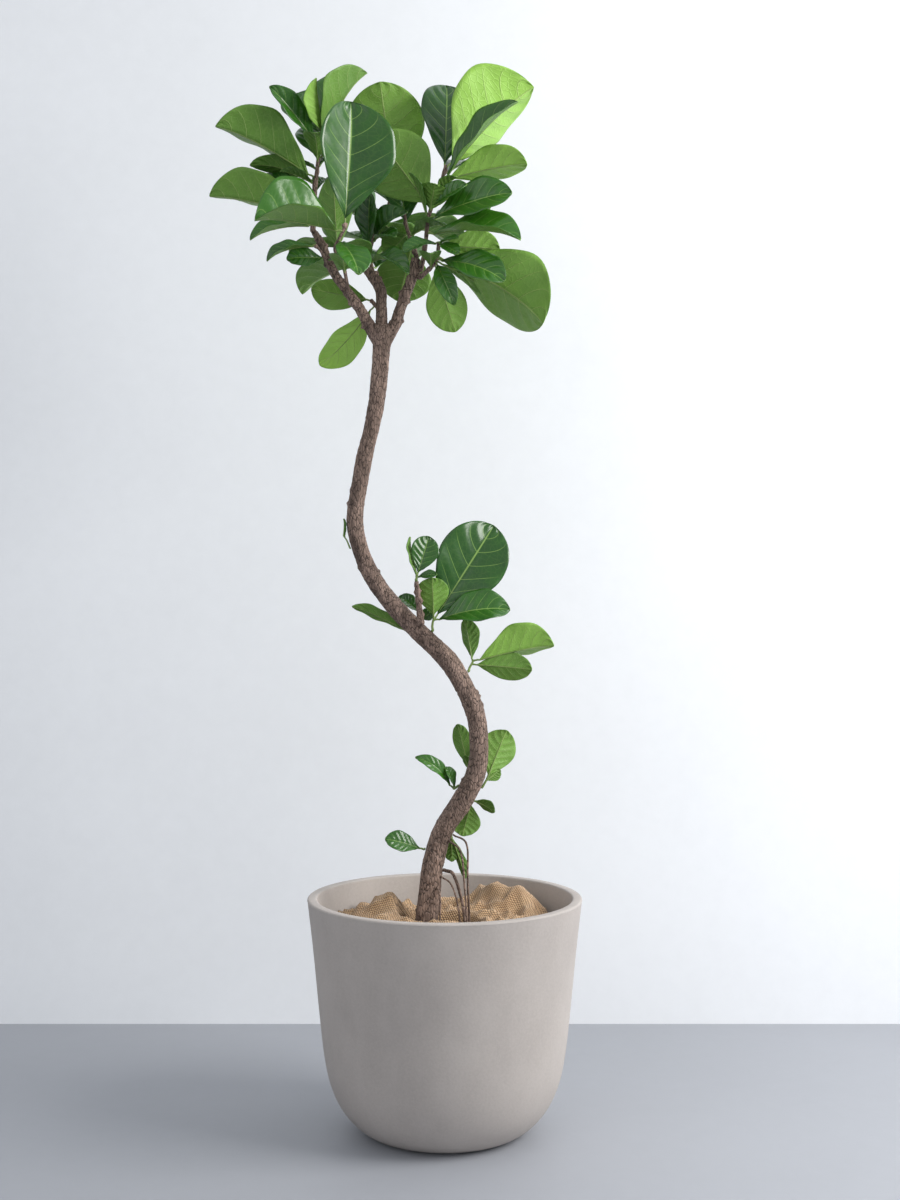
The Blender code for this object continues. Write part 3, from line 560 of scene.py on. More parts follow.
def burlap_height(x, y):
    """The height of the cloth's top over a place on the soil."""
    height = BURLAP_EDGE
    for right, back, rise, reach in BURLAP_MOUNDS:
        height += rise * math.exp(-((x - right) ** 2 + (y - back) ** 2) / reach ** 2)
    return SOIL_TOP + min(height, BURLAP_MOST)


def ripple(x, y, pattern):
    """Smooth noise over the cloth, stretched and turned as the pattern says."""
    (first_x, first_y), (second_x, second_y), layer = pattern
    return noise.noise(Vector((x * first_x + y * first_y, x * second_x + y * second_y, layer)))


def crease(x, y):
    """Long soft creases that run with the heaps, and small ones across them."""
    folds = 1.0 - LONG_SHARE * abs(ripple(x, y, LONG_WAY)) - CROSS_SHARE * abs(ripple(x, y, CROSS_WAY))
    return CREASE * max(CREASE_LEAST, folds) + RUMPLE * ripple(x, y, SMALL)


print("heap heights:", [round(burlap_height(right, back), 4) for right, back, _, _ in BURLAP_MOUNDS])

# %% [markdown]
# The grid becomes a ring: its first direction runs round the stem, and its second from the hole to the wall.
# The cloth is tucked down at both edges. Its weave coordinates are the flat places plus the climb, so that
# the threads aren't stretched on steep heaps.
# %% Jute cloth
BURLAP_HOLE = (0.062, 0.036)  # half-sizes of the opening round trunk and roots, across and deep
BURLAP_HOLE_X = -0.007
CLOTH_ROUND, CLOTH_DEEP = 300, 56
CLOTH_THICK = 0.0012
WALL_CLEAR = 0.003
RAGGED = 0.05  # how far the torn edge draws back, as a share of its reach
RAGGED_WAVES = 3
HOLE_TUCK, HOLE_TUCK_OVER = 0.022, 0.06  # how far down, and over which share of the way out
EDGE_TUCK, EDGE_TUCK_OVER = 0.016, 0.07
CREASES_START = 8  # the creases are full from an eighth of the way out
CLIMB_SHARE = 0.6


def cloth_place(angle, share):
    """The cloth's place in a direction round the stem, at a share of the way from hole to wall."""
    right, back = math.cos(angle), math.sin(angle)
    hole = Vector((BURLAP_HOLE_X + BURLAP_HOLE[0] * right, BURLAP_HOLE[1] * back))
    ragged = 1.0 - RAGGED * max(0.0, noise.noise(Vector((right * RAGGED_WAVES, back * RAGGED_WAVES, 1.0))))
    edge = Vector((right, back)) * (inner_radius(SOIL_TOP) - WALL_CLEAR) * ragged
    spot = hole.lerp(edge, share)
    drop = (HOLE_TUCK * max(0.0, 1.0 - share / HOLE_TUCK_OVER)
            + EDGE_TUCK * max(0.0, (share - (1 - EDGE_TUCK_OVER)) / EDGE_TUCK_OVER))
    rise = burlap_height(spot.x, spot.y) + crease(spot.x, spot.y) * min(1.0, CREASES_START * share)
    return spot.x, spot.y, rise - drop


def thickened(piece, thickness):
    """A live thickness on a sheet, under its upper side."""
    made = piece.modifiers.new("thickness", "SOLIDIFY")
    made.thickness = thickness
    made.offset = -1.0
    return made


bm = bmesh.new()
weave_uv = bm.loops.layers.uv.new("Weave")
bmesh.ops.create_grid(bm, x_segments=CLOTH_ROUND, y_segments=CLOTH_DEEP, size=0.5)
for vert in bm.verts:
    vert.co = cloth_place(math.tau * (vert.co.x + 0.5), vert.co.y + 0.5)
bmesh.ops.remove_doubles(bm, verts=bm.verts, dist=MERGE)
bmesh.ops.recalc_face_normals(bm, faces=bm.faces)
if sum(face.normal.z for face in bm.faces) < 0:
    bmesh.ops.reverse_faces(bm, faces=bm.faces)
for face in bm.faces:
    for loop in face.loops:
        climb = (loop.vert.co.z - SOIL_TOP) * CLIMB_SHARE
        loop[weave_uv].uv = ((loop.vert.co.x + climb) / WEAVE_PITCH, (loop.vert.co.y + climb) / WEAVE_PITCH)
cloth = finished("jute_cloth", bm, [jute], ["burlap"])
thickened(cloth, CLOTH_THICK)

# %% [markdown]
# The stem is one limb that tapers from the root flare to the fork, and the boughs grow out of it. Their
# routes and radii are the solid's, drawn in finer steps. A limb's seat is given on the limb that carries it,
# so that it still starts there when the carrier is moved.
# %% Limbs: sizes
GAP = 0.0003  # air between the solids
# Trunk: its middle line from the flat cut at soil level to under the fork, and its radius at each point
TRUNK_ROUTE = (
    (-0.030, 0.000, SOIL_TOP + GAP), (-0.0225, 0.002, 0.370), (-0.0165, 0.004, 0.412), (-0.003, 0.006, 0.455),
    (0.0255, 0.006, 0.500), (0.046, 0.005, 0.540), (0.053, 0.004, 0.590), (0.043, 0.000, 0.648),
    (0.0085, -0.004, 0.713), (-0.050, -0.006, 0.772), (-0.101, -0.006, 0.830), (-0.130, -0.002, 0.890),
    (-0.137, 0.002, 0.945), (-0.124, 0.006, 1.025), (-0.104, 0.004, 1.117), (-0.096, 0.000, 1.206),
)
TRUNK_RADIUS = (
    0.0185, 0.0172, 0.0162, 0.0160, 0.0160, 0.0152, 0.0146, 0.0146, 0.0148, 0.0142, 0.0134, 0.0130,
    0.0126, 0.0124, 0.0122, 0.0140,
)
FLARE_HEIGHT = 0.030  # the root flare fades out over this height
FLARE_REACH = 0.010
FLARE_LOBES = 5
LOBE_DEPTH = 0.4
LOBE_TURN = 0.6
FORK_SHOULDER = (1.2210, 0.0200)  # height and half-breadth of the stem where the boughs part
FORK_TOP = 1.2352 + GAP

# Limbs that sit on the trunk or a bough: where (the limb, the height there and the side it sits on, counted
# from the front round to the right), further points of the route, and the radius at each point. A limb that
# starts at a bare point is cut level there, over the fork.
BOUGHS = {
    "bough_left": (
        (-0.1180, -0.001, FORK_TOP),
        ((-0.134, -0.002, 1.262), (-0.1505, -0.002, 1.284)),
        (0.0088, 0.0080, 0.0074),
    ),
    "bough_middle": (
        (-0.0965, 0.001, FORK_TOP),
        ((-0.0975, 0.006, 1.266), (-0.100, 0.008, 1.290), (-0.120, 0.018, 1.320)),
        (0.0092, 0.0082, 0.0088, 0.0070),
    ),
    "bough_right": (
        (-0.0745, -0.001, FORK_TOP),
        ((-0.0645, -0.004, 1.266), (-0.051, -0.006, 1.300), (-0.044, -0.006, 1.332)),
        (0.0088, 0.0082, 0.0078, 0.0072),
    ),
    "bough_left_upper": (
        ("bough_left", None, 0),
        ((-0.166, 0.003, 1.306), (-0.180, 0.010, 1.334), (-0.190, 0.016, 1.360), (-0.201, 0.018, 1.377)),
        (0.0070, 0.0074, 0.0066, 0.0062, 0.0050),
    ),
    "spur_middle": (
        ("trunk", 0.768, 50),
        ((-0.0375, -0.0250, 0.786), (-0.0400, -0.0255, 0.808), (-0.0430, -0.0240, 0.838)),
        (0.0056, 0.0054, 0.0044, 0.0034),
    ),
}

# Aerial roots: height and side of the seat on the trunk, further points, and the radius at the two ends
ROOT_END = SOIL_TOP + GAP
AERIAL_ROOTS = (
    (0.458, 75, (0.0335, -0.008, 0.436), (0.035, -0.014, 0.380), (0.039, -0.012, ROOT_END), 0.0014, 0.0018),
    (0.446, 60, (0.0245, -0.014, 0.425), (0.0305, -0.021, 0.370), (0.036, -0.021, ROOT_END), 0.0014, 0.0018),
    (0.398, 80, (0.014, -0.001, 0.388), (0.027, -0.002, 0.345), (0.034, -0.002, ROOT_END), 0.0028, 0.0024),
    (0.388, 60, (0.010, -0.014, 0.376), (0.020, -0.018, 0.345), (0.026, -0.017, ROOT_END), 0.0014, 0.0014),
    (0.372, 35, (-0.007, -0.022, 0.360), (-0.007, -0.027, 0.335), (-0.009, -0.031, ROOT_END), 0.0016, 0.0014),
)
print("limbs:", 1 + len(BOUGHS), "aerial roots:", len(AERIAL_ROOTS))

# %% [markdown]
# A limb starts square to its carrier, a hair clear of its skin, and bends into its own route after a short
# straight lead. The same function seats boughs, aerial roots and the stems of the leaves.
# %% Limbs: routes
STEPS_PER_SPAN = 3
BOUGH_LEAD = 0.006  # how far a bough runs straight out of its seat
STEM_LEAD = 1.1  # the same for a stem or an aerial root, as a share of its foot's radius


def flared(radius, height):
    """A ring's radius as a function of the angle, with the lobes of the root flare near the soil."""
    reach = FLARE_REACH * max(0.0, 1.0 - height / FLARE_HEIGHT) ** 2

    def at(angle):
        return radius + reach * (1 - LOBE_DEPTH + LOBE_DEPTH * math.cos(FLARE_LOBES * angle + LOBE_TURN))

    return at


def seated(seat, limbs):
    """The point where a limb starts, just clear of the one that carries it, and the way it starts."""
    carrier, height, side = seat
    route, radii = limbs[carrier]
    if height is None:
        ahead = (route[-1] - route[-2]).normalized()
        return route[-1] + ahead * GAP, ahead
    for low, high, thin, thick in zip(route, route[1:], radii, radii[1:]):
        if low.z <= height <= high.z:
            share = (height - low.z) / (high.z - low.z)
            axis = (high - low).normalized()
            outward = looking(side, 0)
            outward = (outward - axis * outward.dot(axis)).normalized()
            return low.lerp(high, share) + outward * (thin + (thick - thin) * share + GAP), outward
    raise ValueError(f"no place at {height} on {carrier}")


def seated_route(seat, points, limbs, lead, steps):
    """A smooth route from the seat: it starts square to its carrier and then runs through the points."""
    start, ahead = seated(seat, limbs)
    return [start, *smooth_route([start + ahead * lead, *points], steps)]


def bough_route(name, limbs, steps):
    """A bough's route and radii, in as many steps a span as asked."""
    seat, points, radii = BOUGHS[name]
    if isinstance(seat[0], str):
        return seated_route(seat, points, limbs, BOUGH_LEAD, steps), [radii[0], *spread(radii, steps)]
    return smooth_route([seat, *points], steps), spread(radii, steps)


limbs = {"trunk": (smooth_route(TRUNK_ROUTE, STEPS_PER_SPAN), spread(TRUNK_RADIUS, STEPS_PER_SPAN))}
for bough_name in BOUGHS:
    limbs[bough_name] = bough_route(bough_name, limbs, STEPS_PER_SPAN)
print("routes:", {name: len(route) for name, (route, _) in limbs.items()})

# %% [markdown]
# Seen close, bark is relief: corky plates with cracks between them, soft lumps, faint rings where leaves once
# sat, and small knots. A displacement on a finished mesh would do, but moving each ring's points before the
# loft is simpler and leaves no modifier. Two noises, a wave and a seeded scatter of knots make it.
# %% Limbs: bark relief
CRACK_SIZE = 0.0038
CRACK_STRETCH = 0.30
CRACK_BREADTH = 0.20
PLATE_DEPTH = 0.0011
LUMPS_ROUND, LUMPS_ALONG = 45, 22  # lumps in a metre
LUMP_DEPTH = 0.0016
RING_PITCH = 0.019
RING_WANDER = 3
RING_SHARPNESS = 8
RING_HEIGHT = 0.0005
KNOT_SHARES = (0.03, 0.97)  # of a limb's length
KNOT_HEIGHTS = (0.0015, 0.0042)
KNOT_BREADTHS = (0.0025, 0.0045)
KNOT_REACH = 3  # in knot breadths


def knots(length, count, rng):
    """Places of small knots on a limb: how far along, at which angle, how high and how broad."""
    return [(rng.uniform(*KNOT_SHARES) * length, rng.uniform(0, math.tau), rng.uniform(*KNOT_HEIGHTS),
             rng.uniform(*KNOT_BREADTHS)) for _ in range(count)]


def bark_height(far, angle, radius, bumps, depth):
    """How far the bark stands out at a place on a limb, and how deep in a crack it is."""
    right, back = math.cos(angle) * radius, math.sin(angle) * radius
    ridge = abs(noise.noise(Vector((right, back, far * CRACK_STRETCH)) / CRACK_SIZE))
    crack = max(0.0, 1.0 - ridge / CRACK_BREADTH)
    lump = noise.noise(Vector((right * LUMPS_ROUND, back * LUMPS_ROUND, far * LUMPS_ALONG)))
    ring = max(0.0, math.sin(far * math.tau / RING_PITCH + RING_WANDER * lump)) ** RING_SHARPNESS
    height = depth * (LUMP_DEPTH * lump - PLATE_DEPTH * crack + RING_HEIGHT * ring)
    for knot_far, knot_angle, knot_height, knot_breadth in bumps:
        away = abs(far - knot_far)
        if away < KNOT_REACH * knot_breadth:
            turn = abs((angle - knot_angle + math.pi) % math.tau - math.pi) * radius
            height += knot_height * math.exp(-(away ** 2 + turn ** 2) / knot_breadth ** 2)
    return height, crack


def place_key(place):
    """A place rounded, so that a vertex finds the ring's point that it was made from."""
    return tuple(round(value, 6) for value in place)


def barked_limb(name, route, radii, sides, depth, knot_count, nodes, rng):
    """A limb with its bark as one piece, which stores the depth of its cracks for the material's painted
    shade.
    """
    rings = limb_rings(route, radii, sides)
    bumps = knots(sum((b - a).length for a, b in zip(route, route[1:])), knot_count, rng)
    far = 0.0
    crack_at = {}
    for i, (ring, middle) in enumerate(zip(rings, route)):
        far += (middle - route[i - 1]).length if i else 0.0
        for k, place in enumerate(ring):
            outward = place - middle
            radius = outward.length
            height, crack = bark_height(far, math.tau * k / sides, radius, bumps, depth)
            ring[k] = place + outward / radius * height
            crack_at[place_key(ring[k])] = crack
    bm = lofted(rings)
    bmesh.ops.recalc_face_normals(bm, faces=bm.faces)
    layer = bm.verts.layers.float.new("crack")
    for vert in bm.verts:
        vert[layer] = crack_at.get(place_key(vert.co), 0.0)
    return finished(name, bm, [bark], nodes)


print("bark plates of", CRACK_SIZE, "m, knots up to", KNOT_HEIGHTS[1], "m high")

# %% [markdown]
# The trunk, the boughs and the aerial roots get the same bark, only shallower where they are thinner. The
# three boughs of the fork start inside the stem's rounded top, so that they part like grown wood.
# %% Limbs: trunk, boughs and aerial roots
FINE_STEPS = 22
TRUNK_ROUND, BOUGH_ROUND, ROOT_ROUND = 44, 30, 10  # sides of each limb
TRUNK_BARK, BOUGH_BARK, ROOT_BARK = 1.0, 0.8, 0.25  # the bark's depth on each
TRUNK_KNOTS, BOUGH_KNOTS = 46, 9
FORK_ROOT = (-0.0965, 0.000, 1.196)  # where the boughs part inside the stem
FORK_SWELL = 1.12
STEM_TOP = ((0.000, 0.86), (0.010, 0.72))  # rings over the shoulder: the rise, and the share of its breadth

rng = random.Random(SEED + 1)
trunk_route = smooth_route(TRUNK_ROUTE, FINE_STEPS)
trunk_radii = spread(TRUNK_RADIUS, FINE_STEPS)
shoulder_height, shoulder = FORK_SHOULDER
for rise, share in STEM_TOP:
    trunk_route.append(Vector((trunk_route[-1].x, trunk_route[-1].y, shoulder_height + rise)))
    trunk_radii.append(shoulder * share)
flares = [flared(radius, place.z - SOIL_TOP) for radius, place in zip(trunk_radii, trunk_route)]
barked_limb("trunk_bark", trunk_route, flares, TRUNK_ROUND, TRUNK_BARK, TRUNK_KNOTS, ["trunk"], rng)
for bough_name, (seat, _, _) in BOUGHS.items():
    route, radii = bough_route(bough_name, limbs, FINE_STEPS)
    if not isinstance(seat[0], str):
        route = [*smooth_route([FORK_ROOT, route[0]], FINE_STEPS)[:-1], *route]
        radii = [radii[0] * FORK_SWELL] * FINE_STEPS + radii
    barked_limb(bough_name + "_bark", route, radii, BOUGH_ROUND, BOUGH_BARK, BOUGH_KNOTS, [bough_name], rng)
for number, (height, side, *points, first_radius, last_radius) in enumerate(AERIAL_ROOTS, 1):
    root_name = f"aerial_root_{number}"
    route = seated_route(("trunk", height, side), points, limbs, STEM_LEAD * first_radius, FINE_STEPS)
    radii = spread((first_radius, last_radius), len(route) - 1)
    barked_limb(root_name + "_bark", route, radii, ROOT_ROUND, ROOT_BARK, 0, [root_name], rng)

# %% [markdown]
# The leaves are where this plant is judged. Each mass of foliage is one shoot: a stem on its seat, and leaves
# along it. A leaf that is seen has a row of its own, because its size and the way it faces make the likeness.
# %% Leaves: rows
# A row holds the place of the leaf's foot along the stem, its reach from foot to tip (right, back, up, in
# millimetres), its width in millimetres, the way its upper side looks (round from the front to the right, and
# up, in degrees), the fold of its halves, the arch of its midrib (a share of its length) and its tone, from
# 0, old and dark, to 1, fresh lime. The smallest leaves on the trunk have no tone of their own.
SHOOTS = {
    "foliage_left": (
        ("bough_left_upper", None, 0),
        ((-0.2025, 0.020, 1.420), (-0.199, 0.020, 1.460), (-0.194, 0.020, 1.506), (-0.189, 0.022, 1.532)),
        (0.0045, 0.0025),
        (
            (0.09, (-92, -40, -30), 42, (-20, 55), 35, 0.06, 0.35),
            (0.17, (-158, -10, 32), 100, (180, 60), 40, 0.02, 0.40),
            (0.38, (-107, 40, 21), 44, (10, 50), 35, 0.12, 0.15),
            (0.52, (-101, 2, 27), 38, (170, 50), 20, 0.10, 0.30),
            (0.55, (-148, -40, 71), 112, (180, 62), 40, 0.04, 0.30),
            (0.86, (-70, -50, 78), 44, (20, 20), 30, 0.02, 0.22),
            (0.86, (69, 10, 120), 110, (-65, 38), 52, 0.05, 0.35),
            (0.97, (-45, 50, 84), 78, (5, 20), 12, 0.02, 0.25),
            (0.97, (-8, -40, 76), 60, (-105, 0), 25, 0.00, 0.75),
            (0.92, (10, 74, 106), 60, (180, 10), 12, 0.02, 0.20),
        ),
    ),
    "foliage_left_low": (
        ("bough_left_upper", 1.328, 0),
        ((-0.181, -0.010, 1.331), (-0.190, -0.020, 1.342), (-0.196, -0.022, 1.350)),
        (0.0028, 0.0016),
        (
            (0.35, (-56, -25, -6), 36, (0, 20), 10, 0.05, 0.22),
            (0.25, (26, -15, -4), 15, (10, 60), 10, 0.05, 0.25),
            (1.00, (-72, -20, -27), 34, (-10, 55), 35, 0.08, 0.22),
        ),
    ),
    "foliage_front": (
        ("bough_left", 1.276, 350),
        ((-0.154, -0.030, 1.317), (-0.165, -0.048, 1.336), (-0.157, -0.060, 1.351), (-0.149, -0.065, 1.365),
         (-0.147, -0.065, 1.372)),
        (0.0030, 0.0022),
        (
            (0.78, (34, -60, -62), 56, (25, 40), 15, 0.08, 0.25),
            (0.90, (-122, -70, 2), 132, (-10, 40), 52, 0.03, 0.35),
            (0.55, (-8, 20, 124), 54, (178, 0), 12, 0.02, 0.30),
            (0.94, (12, -15, 184), 138, (28, 0), 28, 0.02, 0.14),
        ),
    ),
    "foliage_middle": (
        ("bough_middle", None, 0),
        ((-0.114, 0.036, 1.365), (-0.094, 0.046, 1.412), (-0.078, 0.050, 1.450)),
        (0.0040, 0.0026),
        (
            (1.00, (-22, -30, 160), 126, (183, 5), 12, 0.03, 0.62),
            (0.25, (2, -25, 84), 44, (-20, 10), 35, 0.04, 0.15),
            (0.35, (55, -30, 42), 50, (-10, 30), 40, 0.14, 0.20),
            (0.40, (36, -60, -8), 34, (0, 40), 20, 0.06, 0.15),
            (0.10, (66, -60, -28), 44, (0, 50), 35, 0.16, 0.25),
        ),
    ),
    "foliage_inner": (
        ("bough_right", None, 0),
        ((-0.052, 0.012, 1.364), (-0.060, 0.020, 1.390), (-0.063, 0.022, 1.412)),
        (0.0036, 0.0024),
        (
            (0.70, (-15, 22, 104), 68, (10, 0), 14, 0.03, 0.12),
            (0.60, (-36, 24, -32), 50, (185, 10), 15, 0.08, 0.30),
            (0.35, (-22, 40, -80), 88, (180, 20), 10, 0.04, 0.35),
        ),
    ),
    "foliage_right": (
        ("bough_right", 1.316, 75),
        ((-0.030, -0.014, 1.345), (-0.026, -0.015, 1.386), (-0.019, -0.020, 1.411), (-0.007, -0.020, 1.441),
         (0.002, -0.020, 1.471)),
        (0.0036, 0.0026),
        (
            (0.58, (-84, 6, 114), 108, (172, 10), 12, 0.04, 0.42),
            (0.97, (132, 20, 132), 164, (225, 30), 30, 0.02, 0.95),
            (0.95, (4, 80, 158), 86, (10, 10), 15, 0.02, 0.10),
            (0.84, (112, -40, 112), 64, (-50, 35), 30, 0.04, 0.20),
            (0.86, (128, -30, 18), 70, (180, 40), 35, 0.04, 0.85),
            (0.50, (124, -40, 30), 72, (5, 30), 15, 0.04, 0.28),
            (0.36, (140, -60, -20), 76, (0, 55), 35, 0.06, 0.40),
            (0.50, (-27, -20, 64), 26, (100, 0), 25, 0.02, 0.20),
            (0.55, (8, -28, 36), 50, (175, 0), 20, 0.05, 0.35),
            (0.60, (52, -34, 26), 30, (20, 30), 25, 0.05, 0.30),
        ),
    ),
    "foliage_right_low": (
        ("bough_right", 1.306, 75),
        ((-0.024, -0.022, 1.312), (-0.012, -0.034, 1.325), (-0.010, -0.036, 1.350)),
        (0.0040, 0.0024),
        (
            (0.92, (93, 15, 0), 56, (175, 30), 15, 0.02, 0.65),
            (0.66, (100, -55, -42), 62, (10, 30), 12, 0.08, 0.20),
            (0.60, (28, -50, -74), 34, (-20, 40), 25, 0.10, 0.25),
            (0.55, (31, 30, -98), 64, (180, -10), 12, 0.04, 0.55),
            (0.62, (114, 34, -58), 34, (170, 30), 25, 0.04, 0.25),
            (0.72, (160, -24, -104), 136, (156, 27), 28, 0.12, 0.45),
            (1.00, (30, -24, 2), 20, (10, 50), 10, 0.06, 0.35),
            (1.00, (30, -24, -22), 28, (10, 40), 10, 0.06, 0.30),
            (1.00, (-52, -24, -20), 34, (0, 50), 20, 0.10, 0.20),
        ),
    ),
    "foliage_low": (
        ("bough_middle", 1.262, 215),
        ((-0.110, 0.025, 1.268), (-0.114, 0.027, 1.276)),
        (0.0028, 0.0020),
        (
            (0.90, (-94, 8, 20), 52, (180, -10), 8, 0.02, 0.45),
            (0.50, (-84, 14, -92), 60, (180, -30), 8, 0.06, 0.95),
        ),
    ),
    "foliage_back": (
        ("bough_middle", 1.306, 160),
        ((-0.112, 0.060, 1.322), (-0.120, 0.100, 1.375), (-0.096, 0.122, 1.440)),
        (0.0040, 0.0026),
        (),
    ),
    "shoot_spur": (
        ("spur_middle", None, 0),
        ((-0.0430, -0.0235, 0.842), (-0.0420, -0.0230, 0.847)),
        (0.0024, 0.0016),
        (
            (1.00, (18, 12, 60), 44, (10, 5), 12, 0.02, 0.15),
            (0.60, (-12, 10, 62), 22, (-100, 0), 20, 0.02, 0.30),
            (0.80, (30, -10, 4), 16, (20, 30), 15, 0.05, 0.20),
        ),
    ),
    "shoot_middle": (
        ("trunk", 0.752, 80),
        ((-0.0190, -0.008, 0.771), (-0.0165, -0.010, 0.784)),
        (0.0022, 0.0016),
        (
            (0.70, (94, 25, 148), 110, (8, 10), 12, 0.03, 0.10),
            (0.90, (-2, -16, 62), 52, (184, 0), 15, 0.02, 0.40),
            (0.80, (116, -10, 18), 66, (10, 40), 20, 0.08, 0.20),
        ),
    ),
    "shoot_behind": (
        ("trunk", 0.764, 150),
        ((-0.038, 0.024, 0.782), (-0.038, 0.026, 0.790)),
        (0.0020, 0.0014),
        (
            (1.00, (-32, -4, 26), 28, (20, 40), 20, 0.05),
            (0.60, (18, 0, 12), 22, (0, 20), 15, 0.05),
        ),
    ),
    "shoot_left": (
        ("trunk", 0.757, 205),
        ((-0.046, 0.012, 0.758), (-0.049, 0.014, 0.758)),
        (0.0020, 0.0014),
        (
            (1.00, (-92, -14, 44), 26, (170, 40), 20, 0.03),
        ),
    ),
    "shoot_right": (
        ("trunk", 0.692, 90),
        ((0.038, 0.000, 0.706), (0.044, 0.000, 0.717)),
        (0.0022, 0.0016),
        (
            (0.90, (-12, 10, 66), 36, (150, 10), 25, 0.02, 0.30),
            (1.00, (122, -10, 26), 84, (189, 37), 38, 0.02, 0.75),
            (0.70, (92, -10, -7), 46, (180, 10), 15, 0.02, 0.40),
        ),
    ),
    "shoot_low_right": (
        ("trunk", 0.528, 100),
        ((0.0635, 0.009, 0.532), (0.0645, 0.010, 0.534)),
        (0.0020, 0.0014),
        (
            (1.00, (31, 20, 73), 58, (190, 0), 10, 0.03, 0.45),
            (0.80, (22, 12, 16), 22, (180, 0), 10, 0.03, 0.35),
        ),
    ),
    "shoot_low_left": (
        ("trunk", 0.516, 245),
        ((0.0145, 0.0135, 0.519), (0.0125, 0.0135, 0.521)),
        (0.0020, 0.0014),
        (
            (1.00, (-56, -15, 49), 26, (-30, 50), 20, 0.16),
            (0.60, (-15, -11, 33), 22, (60, 0), 20, 0.06),
        ),
    ),
    "shoot_low_back": (
        ("trunk", 0.542, 200),
        ((0.038, 0.025, 0.545), (0.037, 0.027, 0.547)),
        (0.0020, 0.0014),
        (
            (1.00, (-17, 4, 70), 30, (170, 0), 15, 0.03),
            (0.80, (-7, -2, 24), 14, (150, 0), 15, 0.03),
        ),
    ),
    "shoot_foot": (
        ("trunk", 0.498, 125),
        ((0.042, 0.019, 0.500), (0.044, 0.021, 0.501)),
        (0.0020, 0.0014),
        (
            (1.00, (33, -8, -17), 24, (180, 40), 12, 0.05),
            (0.70, (-14, 4, -53), 50, (190, -10), 12, 0.05),
        ),
    ),
    "shoot_foot_left": (
        ("trunk", 0.424, 275),
        ((-0.032, 0.003, 0.427), (-0.034, 0.003, 0.428)),
        (0.0016, 0.0012),
        (
            (1.00, (-56, -14, 18), 36, (-10, 40), 10, 0.04),
        ),
    ),
    "shoot_foot_back": (
        ("trunk", 0.444, 165),
        ((0.006, 0.025, 0.446), (0.010, 0.026, 0.445)),
        (0.0018, 0.0012),
        (
            (1.00, (1, 2, -40), 26, (180, 0), 12, 0.04),
            (1.00, (22, 2, -66), 18, (160, 0), 30, 0.04),
        ),
    ),
    "shoot_bud": (
        ("trunk", 0.893, 270),
        ((-0.150, -0.002, 0.901), (-0.1535, -0.002, 0.906)),
        (0.0014, 0.0010),
        (
            (1.00, (0, 0, 28), 12, (90, 0), 20, 0.02),
        ),
    ),
}
print("shoots:", len(SHOOTS), "rows:", sum(len(rows) for _, _, _, rows in SHOOTS.values()))

# %% [markdown]
# A leaf has a frame of its own: forward from foot to tip, up out of its upper side, and sideways. Every point
# of the blade is then a formula of its place along the leaf and across it. The plain body made of these
# points is the same as in the solid, and serves here to feel whether leaves touch.
# %% Leaves: the leaf's frame
MILLIMETRE = 0.001
PETIOLE_SHARE = 0.08  # of the way from foot to tip
PETIOLE_RADIUS = 0.0016
BLADE_THICKNESS = 0.022  # the plain body's, at the midrib, as a share of the blade's length
BLADE_STATIONS = (0.10, 0.26, 0.44, 0.62, 0.80, 0.93)
BROADEST = 1.35  # the blade is broadest where its place raised to this power is a half
BASE_TAPER, TIP_TAPER = 0.72, 0.50
TIP_BREADTH, TIP_THICKNESS = 0.06, 0.25  # the plain body's blunt tip, as shares


def blade_breadth(place):
    """Half the blade's breadth at a place from its base (0) to its tip (1), as a share of the greatest."""
    turn = math.sin(math.pi * place ** BROADEST)
    past = place ** BROADEST > 0.5
    return max(turn, 0.0) ** (TIP_TAPER if past else BASE_TAPER)


class Leaf:
    """One leaf: its foot, its axes, its sizes and its tone."""

    def __init__(self, foot, reach, width, facing, fold, arch, tone=None):
        self.foot = Vector(foot)
        self.length = reach.length
        self.forward = reach.normalized()
        upward = looking(*facing)
        self.up = (upward - self.forward * upward.dot(self.forward)).normalized()
        self.side = self.forward.cross(self.up)
        self.width = width
        self.fold = math.radians(fold)
        self.arch = arch
        self.tone = tone

    def blade(self, place, across, raised=0.0):
        """A point of the blade: its place from base to tip, its share across from -1 to 1, and a raise."""
        petiole = PETIOLE_SHARE * self.length
        half = 0.5 * self.width * blade_breadth(place) * across
        lift = abs(half) * math.sin(self.fold) + 4 * self.arch * self.length * place * (1 - place) + raised
        ahead = petiole + (self.length - petiole) * place
        return self.foot + self.forward * ahead + self.side * half * math.cos(self.fold) + self.up * lift

    def rings(self):
        """Four-sided rings from the petiole's foot to the blade's tip: left, above, right and below."""
        half = 0.5 * BLADE_THICKNESS * self.length
        rings = []
        for ahead in (0.0, PETIOLE_SHARE * self.length):
            middle = self.foot + self.forward * ahead
            sides = (-self.side, self.up, self.side, -self.up)
            rings.append([middle + axis * PETIOLE_RADIUS for axis in sides])
        for place in BLADE_STATIONS:
            rings.append([self.blade(place, -1), self.blade(place, 0, half),
                          self.blade(place, 1), self.blade(place, 0, -half)])
        tip = self.blade(1.0, 0)
        broad, thick = TIP_BREADTH * self.width * self.side, TIP_THICKNESS * half * self.up
        rings.append([tip - broad, tip + thick, tip + broad, tip - thick])
        return rings


def shoot_leaves(rows, route):
    """The leaves of a shoot that are placed one by one."""
    return [Leaf(along(route, share), Vector(reach) * MILLIMETRE, width * MILLIMETRE, *look)
            for share, reach, width, *look in rows]


